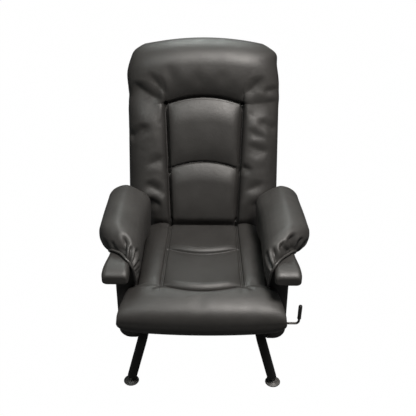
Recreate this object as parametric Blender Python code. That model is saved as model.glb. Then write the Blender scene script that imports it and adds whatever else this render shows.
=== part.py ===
"""High-backed recliner armchair on bent-tube legs.

Metres, +Z up. The sitter faces -Y, the release lever is at +X, and the origin is on the floor under the
middle of the chair. The back turns on two pivot bolts behind the seat and is held by a lockable gas spring.
"""

import math

import bmesh
import bpy
from mathutils import Matrix, Vector

# Clearances
GAP = 0.0003
RUNNING_GAP = 0.0005
TUCK = 0.002
HOLE_LEAD = 0.010
HOLE_SPARE = 0.001

# Seat: the crease is where the seat's top meets the front of the back
SEAT_FRONT_Y = -0.4285
SEAT_DEPTH = 0.5215
CREASE_Z = 0.386
SEAT_FRONT_RISE = 0.010
SEAT_PANEL_HALF_REAR = 0.118
SEAT_PANEL_HALF_FRONT = 0.130
SEAT_PAD_RISE = 0.016
SEAT_LIP = 0.018
SEAT_BOLSTER_RISE = 0.020
SEAT_MID_SEAM = 0.186
SEAT_FRONT_SEAM = 0.400
SEAT_SEAM_BOW = 0.032
ROLL_DEPTH = 0.112
ROLL_BOW = 0.014
ROLL_LIFT = 0.014
EAR_OUTSET = 0.0545
EAR_START_OUTSET = 0.024
SIDE_BULGE = 0.003

# Wooden seat frame
FRAME_HALF_WIDTH = 0.2115
FRAME_BOTTOM_Z = 0.2476
FRAME_RAIL_HEIGHT = 0.050
FRAME_RAIL_WIDTH = 0.048
FRAME_TAIL = 0.0205
WOOD_SOFTENING = 0.002
STRAP_THICKNESS = 0.0016
SEAT_STRAP_WIDTH = 0.040
SEAT_STRAPS = 5
SEAT_CROSS_STRAPS = 3
DUST_COVER_THICKNESS = 0.001
DUST_COVER_LIFT = 0.002

# Arms
PANEL_THICKNESS = 0.067
PANEL_BOTTOM_Z = 0.160
PANEL_HEIGHT = 0.2847
PANEL_FRONT_INSET = 0.020
PANEL_LENGTH = 0.365
PANEL_LOWER_ROUND = 0.040
PANEL_ROUND = 0.010
CAP_INSET = 0.012
CAP_WIDTH = 0.082
CAP_THICKNESS = 0.055
CAP_OVERHANG = 0.092
CAP_REAR_INSET = 0.005
CAP_ROUND = 0.020
PILLOW_FRONT_INSET = 0.052
PILLOW_LENGTH = 0.396
PILLOW_SIDE = 0.033
PILLOW_TOP = 0.030
PILLOW_CROWN = 0.046
PILLOW_FLAP = 0.017
PILLOW_FLAP_BOTTOM_Z = 0.402
PILLOW_HEM_BOTTOM_Z = 0.476
PILLOW_HEM_SLANT = 0.022
PILLOW_PUCKER = 0.010
PILLOW_ARCH_DROP = 0.012
PILLOW_LIP = 0.004
ARM_BOLT_LIFT = 0.004

# Legs: each side frame is one bent tube
TUBE_RADIUS = 0.016
TUBE_WALL = 0.0016
TUBE_SIDES = 14
TUBE_BEND = 0.055
RAIL_INSET = 0.0245
FRONT_BEND_LEAD = 0.019
REAR_BEND_LAG = 0.075
FOOT_OUTSET = 0.032
FRONT_FOOT_LEAD = 0.0166
REAR_FOOT_LAG = 0.130
PLATE_THICKNESS = 0.003
PLATE_WIDTH = 0.049
PLATE_LENGTH = 0.080
FRONT_PLATE_INSET = 0.047
REAR_PLATE_INSET = 0.065
LEG_BOLT_X = 0.0165
LEG_BOLT_Y = 0.026
BOLT_RADIUS = 0.003
BOLT_HEAD_RADIUS = 0.0055
BOLT_HEAD = 0.004
BOLT_LENGTH = 0.025
BOLT_SIDES = 8

# Feet: a disc that tilts on the ball of a bright stem, screwed into the tube's capped end
BALL_Z = 0.0095
BALL_RADIUS = 0.006
SOCKET_GAP = 0.0004
SOCKET_MOUTH = 0.0035
NECK_RADIUS = 0.0025
COLLAR_START = 0.0085
COLLAR_LENGTH = 0.005
COLLAR_RADIUS = 0.0075
SHANK_RADIUS = 0.004
SHANK_LENGTH = 0.024
TUBE_END_CAP = 0.006
DISC_RADIUS = 0.026
DISC_RIM = 0.0045
DISC_HUB_RADIUS = 0.0095
DISC_HUB_FLARE = 0.004
DISC_SOFTENING = 0.001
FOOT_SIDES = 18

# Back: heights run along the leaning front face from the crease, depths run behind that face
BACK_LEAN = math.radians(19.6)
BACK_HEIGHT = 0.671
BACK_DEPTH = 0.0864
BACK_OUTSET = 0.0560
BACK_LOW_INSET = 0.0045
BACK_SHOULDER_START = 0.088
BACK_SHOULDER_RUN = 0.050
BACK_TAIL = 0.050
BACK_TAIL_ROUND = 0.014
BACK_TAIL_DEPTH = 0.050
BACK_PANEL_HALF_LOW = 0.118
BACK_PANEL_HALF_TOP = 0.135
BACK_MID_SEAM = 0.199
BACK_TOP_SEAM = 0.4345
BACK_SEAM_BOW = 0.026
BACK_PAD_RISE = 0.028
BACK_BOLSTER_RISE = 0.034
BACK_ROLL_RISE = 0.042
BACK_TOP_ARCH = 0.022
BACK_TOP_TAPER = 0.055
BACK_TOP_THICKNESS = 0.036
SEAM_DEPTH = 0.006
EDGE_DROP = 0.030
COVER_DEPTH = 0.048
COVER_SHEET = 0.004
COVER_INSET = 0.012
COVER_TOP_INSET = 0.040
COVER_DOME = 0.040
COVER_FOOT = -0.030
HOOP_RADIUS = 0.011
HOOP_WALL = 0.0015
HOOP_SIDES = 12
HOOP_TOP_INSET = 0.096
HOOP_FOOT = -0.030
HOOP_BEND = 0.060
CROSS_RADIUS = 0.009
CROSS_HEIGHT = -0.005
BACK_STRAP_WIDTH = 0.045
BACK_STRAPS = 4
BACK_UPRIGHT_STRAPS = 2
BACK_STRAP_FIRST = 0.080
BACK_STRAP_STEP = 0.115

# Recline hinge and lockable gas spring
PIVOT_BELOW = 0.053
RECLINE_MAX = math.radians(35.0)
HINGE_SHEET = 0.004
HINGE_EYE = 0.018
HINGE_FRONT_RADIUS = 0.016
HINGE_BOLT_HEIGHT = 0.020
HINGE_REACH = 0.165
HINGE_BOLT_PITCH = 0.036
HINGE_ARM_HEIGHT = 0.100
PIVOT_RADIUS = 0.005
PIVOT_HEAD_RADIUS = 0.009
PIVOT_HEAD = 0.004
PIVOT_NUT = 0.006
PIVOT_TIP = 0.002
CRANK_RADIUS = 0.074
CRANK_SHEET = 0.003
CRANK_END_RADIUS = 0.011
CRANK_PIN_RADIUS = 0.004
CRANK_PIN_HEAD = 0.0025
CRANK_PIN_TIP = 0.003
EYE_WALL = 0.004
EYE_WIDTH = 0.014
EYE_SHANK = 0.022
CYLINDER_RADIUS = 0.011
CYLINDER_BORE = 0.0090
CYLINDER_LENGTH = 0.200
CYLINDER_END = 0.008
ROD_RADIUS = 0.004
PISTON_LENGTH = 0.010
PISTON_CLEARANCE = 0.002
BRACKET_SHEET = 0.003
BRACKET_WIDTH = 0.050
BRACKET_DROP = 0.018
BRACKET_REACH = 0.076
BRACKET_INSET = 0.004
ROD_NUT = 0.005
ROD_NUT_RADIUS = 0.0075
ROD_TIP = 0.0025
RELEASE_PIN_RADIUS = 0.0018
RELEASE_PIN_LENGTH = 0.020
RELEASE_TRAVEL = 0.0063

# Release lever
LEVER_DROP = 0.0095
LEVER_RADIUS = 0.004
LEVER_REACH = 0.0477
LEVER_BEND = 0.012
LEVER_RISE = 0.072
LEVER_FLARE = 0.0015
GRIP_RADIUS = 0.0066
GRIP_LENGTH = 0.052
GRIP_CAP = 0.004
FINGER_WIDTH = 0.008
FINGER_RADIUS = 0.008
FINGER_TIP_RADIUS = 0.005
FINGER_COLLAR = 0.004
BUSH_RADIUS = 0.0075
BUSH_TRIM = 0.009
HANGER_X = 0.040
HANGER_SHEET = 0.003
HANGER_FLANGE = 0.024
HANGER_LIP = 0.012
HANGER_ROUND = 0.010

# Facets
PIN_SIDES = 16
NUT_SIDES = 6
ARC_STEPS = 7
BEND_STEPS = 6
BOLSTER_STEPS = (1.0, 0.86, 0.55, 0.2)
PANEL_STEPS = (-1.0, -0.88, -0.5, 0.0, 0.5, 0.88, 1.0)
PAD_STEPS = (0.08, 0.28, 0.5, 0.74, 0.93)

# Places worked out from the sizes above
CREASE_Y = SEAT_FRONT_Y + SEAT_DEPTH
FRAME_TOP_Z = FRAME_BOTTOM_Z + FRAME_RAIL_HEIGHT
FRAME_FRONT_Y = SEAT_FRONT_Y + ROLL_DEPTH
FRAME_REAR_Y = CREASE_Y + FRAME_TAIL
RAIL_INNER_X = FRAME_HALF_WIDTH - FRAME_RAIL_WIDTH
RAIL_X = FRAME_HALF_WIDTH - RAIL_INSET
FOOT_X = FRAME_HALF_WIDTH + FOOT_OUTSET
FRONT_BEND_Y = FRAME_FRONT_Y - FRONT_BEND_LEAD
REAR_BEND_Y = FRAME_REAR_Y + REAR_BEND_LAG
FRONT_FOOT_Y = FRAME_FRONT_Y - FRONT_FOOT_LEAD
REAR_FOOT_Y = FRAME_REAR_Y + REAR_FOOT_LAG
FRONT_PLATE_Y = FRAME_FRONT_Y + FRONT_PLATE_INSET
REAR_PLATE_Y = FRAME_REAR_Y - REAR_PLATE_INSET
EAR_HALF_WIDTH = FRAME_HALF_WIDTH + EAR_OUTSET
EAR_START_HALF = FRAME_HALF_WIDTH + EAR_START_OUTSET
BACK_HALF_WIDTH = FRAME_HALF_WIDTH + BACK_OUTSET
BACK_LOW_HALF_WIDTH = FRAME_HALF_WIDTH - BACK_LOW_INSET
PANEL_FRONT_Y = FRAME_FRONT_Y + PANEL_FRONT_INSET
SEAT_BASE_Z = FRAME_TOP_Z + GAP + STRAP_THICKNESS + GAP
SEAT_HALF_WIDTH = FRAME_HALF_WIDTH - 2.0 * TUCK
PANEL_INNER_X = FRAME_HALF_WIDTH + GAP
PANEL_OUTER_X = PANEL_INNER_X + PANEL_THICKNESS
PANEL_TOP_Z = PANEL_BOTTOM_Z + PANEL_HEIGHT
LEVER_END_X = PANEL_OUTER_X + LEVER_REACH
PANEL_REAR_Y = PANEL_FRONT_Y + PANEL_LENGTH
CAP_INNER_X = PANEL_INNER_X + CAP_INSET
CAP_OUTER_X = CAP_INNER_X + CAP_WIDTH
CAP_BOTTOM_Z = PANEL_TOP_Z + GAP
CAP_TOP_Z = CAP_BOTTOM_Z + CAP_THICKNESS
CAP_FRONT_Y = PANEL_FRONT_Y - CAP_OVERHANG
CAP_REAR_Y = PANEL_REAR_Y - CAP_REAR_INSET
PLATE_TOP_Z = FRAME_BOTTOM_Z - GAP
RAIL_Z = PLATE_TOP_Z - PLATE_THICKNESS - GAP - TUBE_RADIUS
PIVOT_BEHIND = BACK_DEPTH + HINGE_EYE + 2.0 * RUNNING_GAP
BACK_UP = Vector((0.0, math.sin(BACK_LEAN), math.cos(BACK_LEAN)))
BACK_REAR = Vector((0.0, math.cos(BACK_LEAN), -math.sin(BACK_LEAN)))
CREASE = Vector((0.0, CREASE_Y, CREASE_Z))
PIVOT = CREASE - PIVOT_BELOW * BACK_UP + PIVOT_BEHIND * BACK_REAR
COVER_TOP = BACK_HEIGHT - COVER_TOP_INSET
HOOP_TOP = BACK_HEIGHT - HOOP_TOP_INSET
HOOP_BEHIND = BACK_DEPTH + GAP + STRAP_THICKNESS + GAP + HOOP_RADIUS
CRANK_TOP_RADIUS = HOOP_BEHIND - BACK_DEPTH - 2.0 * GAP
HINGE_ARM_RADIUS = CRANK_TOP_RADIUS
HINGE_OUTER_X = RAIL_INNER_X - GAP
HINGE_INNER_X = HINGE_OUTER_X - HINGE_SHEET
ARM_PLATE_OUTER_X = HINGE_INNER_X - RUNNING_GAP
ARM_PLATE_INNER_X = ARM_PLATE_OUTER_X - HINGE_SHEET
HOOP_HALF_WIDTH = ARM_PLATE_INNER_X - GAP - HOOP_RADIUS
CRANK_SWING = CRANK_RADIUS * math.sin(RECLINE_MAX / 2.0)
CRANK_LIFT = CRANK_RADIUS * (1.0 - math.cos(RECLINE_MAX / 2.0)) / 2.0
CRANK_PIN = PIVOT + Vector((0.0, CRANK_SWING, -CRANK_RADIUS * math.cos(RECLINE_MAX / 2.0)))
GAS_Z = CRANK_PIN.z - CRANK_LIFT
EYE_BORE = CRANK_PIN_RADIUS + CRANK_LIFT + RUNNING_GAP
EYE_RADIUS = EYE_BORE + EYE_WALL
CYLINDER_REAR_Y = CRANK_PIN.y - EYE_SHANK - GAP
CYLINDER_FRONT_Y = CYLINDER_REAR_Y - CYLINDER_LENGTH
WEB_REAR_Y = FRAME_FRONT_Y + BRACKET_REACH
WEB_FRONT_Y = WEB_REAR_Y - BRACKET_SHEET
ROD_TIP_Y = WEB_FRONT_Y - GAP - ROD_NUT - ROD_TIP
RELEASE_TIP_Y = ROD_TIP_Y - RELEASE_TRAVEL - GAP
LEVER_Y = RELEASE_TIP_Y - GAP - FINGER_TIP_RADIUS
LEVER_Z = RAIL_Z - TUBE_RADIUS - LEVER_DROP


def remove_all():
    """Empty the scene, so that the script can be run again."""
    for obj in list(bpy.data.objects):
        bpy.data.objects.remove(obj, do_unlink=True)


def finish(name, colour, roughness, metallic=0.0):
    """A surface finish: linear RGB colour, roughness and metallic value."""
    material = bpy.data.materials.new(name)
    material.use_nodes = True
    shader = material.node_tree.nodes["Principled BSDF"]
    shader.inputs["Base Color"].default_value = (*colour, 1.0)
    shader.inputs["Roughness"].default_value = roughness
    shader.inputs["Metallic"].default_value = metallic
    material.diffuse_color = (*colour, 1.0)
    return material


def node(name, bm, surface, parent=None, sharp=40.0):
    """Make the finished mesh an object of the chair, shaded smooth below the sharp angle (degrees)."""
    bmesh.ops.recalc_face_normals(bm, faces=bm.faces)
    mesh = bpy.data.meshes.new(name)
    bm.to_mesh(mesh)
    bm.free()
    mesh.materials.append(surface)
    mesh.shade_smooth()
    mesh.set_sharp_from_angle(angle=math.radians(sharp))
    obj = bpy.data.objects.new(name, mesh)
    bpy.context.scene.collection.objects.link(obj)
    obj.parent = parent
    return obj


def pivot_empty(name, place, lean=0.0):
    """An empty on a joint's axis, turned back by the lean about X."""
    empty = bpy.data.objects.new(name, None)
    empty.location = place
    empty.rotation_euler = (-lean, 0.0, 0.0)
    bpy.context.scene.collection.objects.link(empty)
    return empty


def block(bm, low, high, softening=0.0):
    """A box between two corners, with its edges chamfered by the softening."""
    size = Vector(high) - Vector(low)
    place = Matrix.Translation((Vector(low) + Vector(high)) / 2.0) @ Matrix.Diagonal((*size, 1.0))
    verts = bmesh.ops.create_cube(bm, size=1.0, matrix=place)["verts"]
    if softening:
        edges = list({edge for vert in verts for edge in vert.link_edges})
        bmesh.ops.bevel(bm, geom=edges, offset=softening, segments=1, affect="EDGES")


def loft(bm, rings):
    """A closed solid through cross-sections of equal point counts, capped at both ends."""
    rows = [[bm.verts.new(point) for point in ring] for ring in rings]
    for near, far in zip(rows, rows[1:]):
        for i in range(len(near)):
            j = (i + 1) % len(near)
            bm.faces.new((near[i], near[j], far[j], far[i]))
    bm.faces.new(rows[0][::-1])
    bm.faces.new(rows[-1])


def along(start, end):
    """A frame at the start whose Z points to the end."""
    direction = Vector(end) - Vector(start)
    return Matrix.Translation(start) @ direction.to_track_quat("Z", "Y").to_matrix().to_4x4()


def turned(bm, profile, place, sides):
    """A solid of revolution about place's Z from (radius, height) points, axis to axis or a closed ring."""
    verts = [bm.verts.new(place @ Vector((radius, 0.0, height))) for radius, height in profile]
    edges = [bm.edges.new(pair) for pair in zip(verts, verts[1:])]
    if profile[0][0] > 0.0:
        edges.append(bm.edges.new((verts[-1], verts[0])))
    axis = place.to_3x3() @ Vector((0.0, 0.0, 1.0))
    bmesh.ops.spin(
        bm, geom=verts + edges, cent=place.translation, axis=axis, angle=2.0 * math.pi, steps=sides
    )
    bmesh.ops.remove_doubles(bm, verts=bm.verts, dist=1e-6)


def rod(bm, start, end, radius, sides):
    """A plain round bar between two points."""
    place = along(start, end)
    length = (Vector(end) - Vector(start)).length
    turned(bm, ((0.0, 0.0), (radius, 0.0), (radius, length), (0.0, length)), place, sides)


def bent_path(points, radius):
    """A polyline with each inner corner rounded to an arc of the radius."""
    path = [Vector(points[0])]
    for before, corner, after in zip(points, points[1:], points[2:]):
        inward = (Vector(before) - Vector(corner)).normalized()
        outward = (Vector(after) - Vector(corner)).normalized()
        half = inward.angle(outward) / 2.0
        middle = Vector(corner) + (inward + outward).normalized() * radius / math.sin(half)
        first = Vector(corner) + inward * radius / math.tan(half) - middle
        axis = first.cross(Vector(corner) - middle).normalized()
        turn = math.pi - 2.0 * half
        for step in range(BEND_STEPS + 1):
            path.append(middle + Matrix.Rotation(turn * step / BEND_STEPS, 3, axis) @ first)
    path.append(Vector(points[-1]))
    return path


def tube(bm, path, radius, wall, sides, cap=0.0, mouth=0.0):
    """A round tube along a path: solid if the wall is 0, its ends capped round a mouth if it has a cap."""
    tangents = [path[1] - path[0]]
    tangents += [after - before for before, after in zip(path, path[2:])]
    tangents.append(path[-1] - path[-2])
    tangents = [tangent.normalized() for tangent in tangents]
    normal = tangents[0].orthogonal()
    spokes = []
    for tangent in tangents:
        normal = (normal - tangent * normal.dot(tangent)).normalized()
        side = tangent.cross(normal)
        turns = [2.0 * math.pi * i / sides for i in range(sides)]
        spokes.append([math.cos(turn) * normal + math.sin(turn) * side for turn in turns])
    rings = [[place + spoke * radius for spoke in fan] for place, fan in zip(path, spokes)]
    if not wall:
        loft(bm, rings)
        return
    bore = radius - wall
    inner = [(place, fan, bore) for place, fan in zip(path, spokes)]
    if cap:
        first = path[0] + tangents[0] * cap
        last = path[-1] - tangents[-1] * cap
        head = [(path[0], spokes[0], mouth), (first, spokes[0], mouth), (first, spokes[0], bore)]
        tail = [(last, spokes[-1], bore), (last, spokes[-1], mouth), (path[-1], spokes[-1], mouth)]
        inner = head + inner[1:-1] + tail
    rings += [[place + spoke * reach for spoke in fan] for place, fan, reach in reversed(inner)]
    rows = [[bm.verts.new(point) for point in ring] for ring in rings]
    for near, far in zip(rows, rows[1:] + rows[:1]):
        for i in range(sides):
            j = (i + 1) % sides
            bm.faces.new((near[i], near[j], far[j], far[i]))


def link_outline(start, start_radius, end, end_radius):
    """The (y, z) outline of a flat link with a round end about each of two points."""
    run = Vector(end) - Vector(start)
    heading = math.atan2(run.y, run.x)
    slope = math.acos((start_radius - end_radius) / run.length)
    ends = ((start, start_radius, slope, 2.0 * math.pi - slope), (end, end_radius, -slope, slope))
    outline = []
    for centre, radius, first, last in ends:
        for step in range(ARC_STEPS + 1):
            angle = heading + first + (last - first) * step / ARC_STEPS
            outline.append((centre[0] + radius * math.cos(angle), centre[1] + radius * math.sin(angle)))
    return outline


def sheet(bm, outline, near_x, far_x):
    """A flat piece of the (y, z) outline between two X planes."""
    loft(bm, [[(x, y, z) for y, z in outline] for x in (near_x, far_x)])


def hole_radius(radius, gap, sides=PIN_SIDES):
    """The radius of a faceted hole whose flats clear a pin of the radius by the gap."""
    return (radius + gap) / math.cos(math.pi / sides)


def combine(target, bm, operation):
    """Add the mesh to the target, or cut it from the target, by a Boolean of the operation."""
    tool = node(f"{target.name}_{operation.lower()}", bm, target.data.materials[0], target.parent)
    tool.hide_render = True
    tool.display_type = "WIRE"
    change = target.modifiers.new(operation.lower(), "BOOLEAN")
    change.operation = operation
    change.solver = "EXACT"
    change.object = tool


def drill(target, holes):
    """Cut round holes, each (start, end, radius), from the target."""
    bm = bmesh.new()
    for start, end, radius in holes:
        rod(bm, start, end, radius, PIN_SIDES)
    combine(target, bm, "DIFFERENCE")


def lattice(name, columns, rows, point, surface, parent=None):
    """Crossed straps as one sheet: each column and row is a (low, high) stretch, placed by point."""
    across = sorted({value for stretch in columns for value in stretch})
    lengths = sorted({value for stretch in rows for value in stretch})
    bm = bmesh.new()
    grid = [[bm.verts.new(point(a, b)) for b in lengths] for a in across]
    for i in range(len(across) - 1):
        for j in range(len(lengths) - 1):
            if i % 2 == 0 or j % 2 == 0:
                bm.faces.new((grid[i][j], grid[i + 1][j], grid[i + 1][j + 1], grid[i][j + 1]))
    obj = node(name, bm, surface, parent)
    thickness = obj.modifiers.new("thickness", "SOLIDIFY")
    thickness.thickness = STRAP_THICKNESS
    thickness.offset = 0.0
    return obj


def bolt(bm, seat, direction, length, radius=BOLT_RADIUS, wide=BOLT_HEAD_RADIUS, head=BOLT_HEAD, sink=-GAP):
    """A bolt whose head sinks into the seat, or lies off it, and whose shank runs along the direction."""
    direction = Vector(direction)
    start = Vector(seat) + direction * sink
    profile = ((0.0, -head), (wide, -head), (wide, 0.0), (radius, 0.0), (radius, length), (0.0, length))
    turned(bm, profile, along(start, start + direction), BOLT_SIDES)


def bolt_hole(seat, direction, depth, radius=BOLT_RADIUS):
    """The hole that a bolt runs in, from just before its seat."""
    direction = Vector(direction)
    return Vector(seat) - direction * HOLE_LEAD, Vector(seat) + direction * depth, hole_radius(radius, GAP)


def swell(share, power):
    """1 in the middle of a strip and 0 at its edges, for a share of the way across it."""
    return 1.0 - abs(2.0 * share - 1.0) ** power


def blend(first, last, share):
    """The value a share of the way from the first to the last."""
    return first + (last - first) * share


def ease(share):
    """A smooth step from 0 to 1."""
    share = min(1.0, max(0.0, share))
    return share * share * (3.0 - 2.0 * share)


def cushion_ring(place, half, panel_half, side, middle, seam, pad, shoulder, edge, base, base_shift=0.0):
    """One section of a sewn cushion: a centre pad between two seams, a bolster at each side and a flat base.

    place turns (across, along, height) into a point. The section lies at side along the cushion, and bows to
    middle at its centre. Heights are the seam's, the edge's and the base's, with the pad's and the shoulder's
    rise over the seam.
    """
    bolster = []
    for share in BOLSTER_STEPS:
        across = blend(panel_half, half, share)
        height = blend(seam, edge, share * share) + shoulder * 2.0 * math.sqrt(share * (1.0 - share))
        bolster.append((across, height))
    ring = [place(-across, side, height) for across, height in bolster]
    for share in PANEL_STEPS:
        crown = seam + pad * swell((share + 1.0) / 2.0, 4)
        ring.append(place(panel_half * share, blend(middle, side, share * share), crown))
    ring += [place(across, side, height) for across, height in reversed(bolster)]
    ring.append(place(half + SIDE_BULGE, side + base_shift / 2.0, (edge + base) / 2.0))
    ring.append(place(half - SIDE_BULGE, side + base_shift, base))
    ring.append(place(0.0, side + base_shift, base))
    ring.append(place(SIDE_BULGE - half, side + base_shift, base))
    ring.append(place(-half - SIDE_BULGE, side + base_shift / 2.0, (edge + base) / 2.0))
    return ring


def seat_point(across, along_y, height):
    return Vector((across, along_y, height))


def back_point(across, height, forward):
    """A point of the back, in the frame of the recline pivot."""
    return Vector((across, -forward - PIVOT_BEHIND, height + PIVOT_BELOW))


def build_seat_cushion(surface):
    """The seat: two centre pads between arched seams, then a front roll that flares before the arms."""
    rear = CREASE_Y - TUCK
    mid_seam = CREASE_Y - SEAT_MID_SEAM
    front_seam = CREASE_Y - SEAT_FRONT_SEAM
    step = FRAME_FRONT_Y - GAP
    ear = PANEL_FRONT_Y - GAP
    roll = min(step, ear, front_seam) - GAP
    nose = SEAT_FRONT_Y + ROLL_BOW
    slant = (CREASE_Z - SEAT_BASE_Z) * math.tan(BACK_LEAN)
    rings = []

    def pad_rise(side):
        """A pad rises towards the front and drops to its seam in a rolled lip."""
        if side <= front_seam:
            return SEAT_PAD_RISE / 2.0 * ease((front_seam - side) / SEAT_LIP)
        start, end = (rear, mid_seam) if side > mid_seam else (mid_seam, front_seam)
        share = (start - side) / (start - end)
        ends = ease((start - side) / SEAT_LIP) * ease((side - end) / SEAT_LIP)
        return SEAT_PAD_RISE * blend(0.4, 1.0, share) * ends

    def add(side, keep=1.0, shoulder=SEAT_BOLSTER_RISE):
        share = (CREASE_Y - side) / SEAT_DEPTH
        panel_half = blend(SEAT_PANEL_HALF_REAR, SEAT_PANEL_HALF_FRONT, share)
        half = SEAT_HALF_WIDTH
        if side <= ear:
            half = blend(EAR_START_HALF, EAR_HALF_WIDTH, (ear - side) / (ear - nose))
            half -= ROLL_BOW * (1.0 - keep) ** 4
        bow = SEAT_SEAM_BOW * ease((rear - side) / (rear - mid_seam))
        if side < roll:
            bow = blend(SEAT_SEAM_BOW, ROLL_BOW, (roll - side) / (roll - nose))
        top = CREASE_Z - SEAM_DEPTH + SEAT_FRONT_RISE * share
        low = FRAME_BOTTOM_Z + ROLL_LIFT
        base = SEAT_BASE_Z if side > step - GAP / 2.0 else low
        waist = (top + low) / 2.0
        lag = -slant * max(0.0, (side - mid_seam) / (rear - mid_seam)) ** 2
        seam = blend(waist, top, keep)
        edge = blend(waist, top - EDGE_DROP / 2.0, keep)
        foot = blend(waist, base, keep)
        pad = pad_rise(side) * keep
        rings.append(
            cushion_ring(
                seat_point, half, panel_half, side, side - bow, seam, pad, shoulder * keep, edge, foot, lag
            )
        )

    sides = {mid_seam, front_seam, step, step - GAP, ear, ear + GAP}
    for start, end in ((rear, mid_seam), (mid_seam, front_seam)):
        sides.update(blend(start, end, share) for share in PAD_STEPS)
    add(rear, shoulder=SEAT_BOLSTER_RISE / 2.0)
    for side in sorted(sides, reverse=True):
        add(side)
    for degrees in (12.0, 30.0, 46.0, 62.0, 78.0):
        turn = math.radians(degrees)
        add(blend(roll, nose, math.sin(turn)), math.cos(turn))
    bm = bmesh.new()
    loft(bm, rings)
    return node("seat_cushion", bm, surface, sharp=60.0)


def build_back_cushion(surface, pivot):
    """The back: two centre pads, a bolster down each side and a thick roll across the top."""
    rings = []

    def half_at(height):
        shoulder = ease((height - BACK_SHOULDER_START) / BACK_SHOULDER_RUN)
        low = blend(BACK_LOW_HALF_WIDTH, BACK_HALF_WIDTH, shoulder)
        top = max(0.0, (height - BACK_TOP_SEAM) / (BACK_HEIGHT - BACK_TOP_SEAM))
        return low - BACK_TOP_TAPER * (top * BACK_HEIGHT / (BACK_HEIGHT - BACK_TOP_ARCH)) ** 8

    def add(side, middle, pad, shoulder, front=0.0, edge=-EDGE_DROP, base=-BACK_DEPTH):
        share = max(0.0, min(1.0, side / BACK_TOP_SEAM))
        panel_half = blend(BACK_PANEL_HALF_LOW, BACK_PANEL_HALF_TOP, share)
        ring = cushion_ring(
            back_point, half_at(side), panel_half, side, middle, front - SEAM_DEPTH, pad, shoulder, edge, base
        )
        rings.append(ring)

    tail_edge = -EDGE_DROP - BACK_TAIL_ROUND / 2.0
    add(-BACK_TAIL, -BACK_TAIL, 0.0, 0.0, -BACK_TAIL_ROUND, tail_edge, -BACK_TAIL_DEPTH)
    add(BACK_TAIL_ROUND - BACK_TAIL, BACK_TAIL_ROUND - BACK_TAIL, 0.0, 0.0)
    add(0.0, 0.0, BACK_PAD_RISE / 4.0, BACK_BOLSTER_RISE / 4.0)
    crest = BACK_SHOULDER_START + BACK_SHOULDER_RUN
    sides = {BACK_SHOULDER_START, crest, BACK_MID_SEAM, BACK_TOP_SEAM}
    for start, end in ((0.0, BACK_MID_SEAM), (BACK_MID_SEAM, BACK_TOP_SEAM)):
        sides.update(blend(start, end, share) for share in PAD_STEPS)
    for side in sorted(sides):
        bow = BACK_SEAM_BOW * ease(side / BACK_MID_SEAM)
        start, end = (0.0, BACK_MID_SEAM) if side < BACK_MID_SEAM else (BACK_MID_SEAM, BACK_TOP_SEAM)
        pad = BACK_PAD_RISE * swell((side - start) / (end - start), 2.4)
        shoulder = BACK_BOLSTER_RISE * ease(0.4 + side / BACK_MID_SEAM)
        add(side, side + bow, pad, shoulder)
    for share in (0.1, 0.3, 0.6, 0.83, 0.93, 1.0):
        side = blend(BACK_TOP_SEAM, BACK_HEIGHT - BACK_TOP_ARCH, share)
        middle = blend(BACK_TOP_SEAM + BACK_SEAM_BOW, BACK_HEIGHT, share)
        bulge = BACK_ROLL_RISE * (1.0 - abs(2.0 * share - 1.0) ** 2.5)
        drop = BACK_TOP_THICKNESS * ease(share * 4.0 - 3.0)
        shoulder = BACK_BOLSTER_RISE * (1.0 - ease(share * 1.6 - 0.6))
        base = drop / 3.0 - BACK_DEPTH
        add(side, middle, bulge / 4.0, shoulder, bulge * 0.75 - drop, -EDGE_DROP - drop / 3.0, base)
    bm = bmesh.new()
    loft(bm, rings)
    return node("back_cushion", bm, surface, pivot, sharp=60.0)


def rounded_ring(low, high, rounds):
    """An (a, b) rectangle whose corners have their own rounds: low-low, high-low, high-high, low-high."""
    corners = ((low[0], low[1]), (high[0], low[1]), (high[0], high[1]), (low[0], high[1]))
    inward = ((1, 1), (-1, 1), (-1, -1), (1, -1))
    ring = []
    for index, (corner, turn, radius) in enumerate(zip(corners, inward, rounds)):
        for step in range(4):
            angle = math.pi + math.pi / 2.0 * (index + step / 3.0)
            ring.append(
                (
                    corner[0] + radius * (turn[0] + math.cos(angle)),
                    corner[1] + radius * (turn[1] + math.sin(angle)),
                )
            )
    return ring


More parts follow.
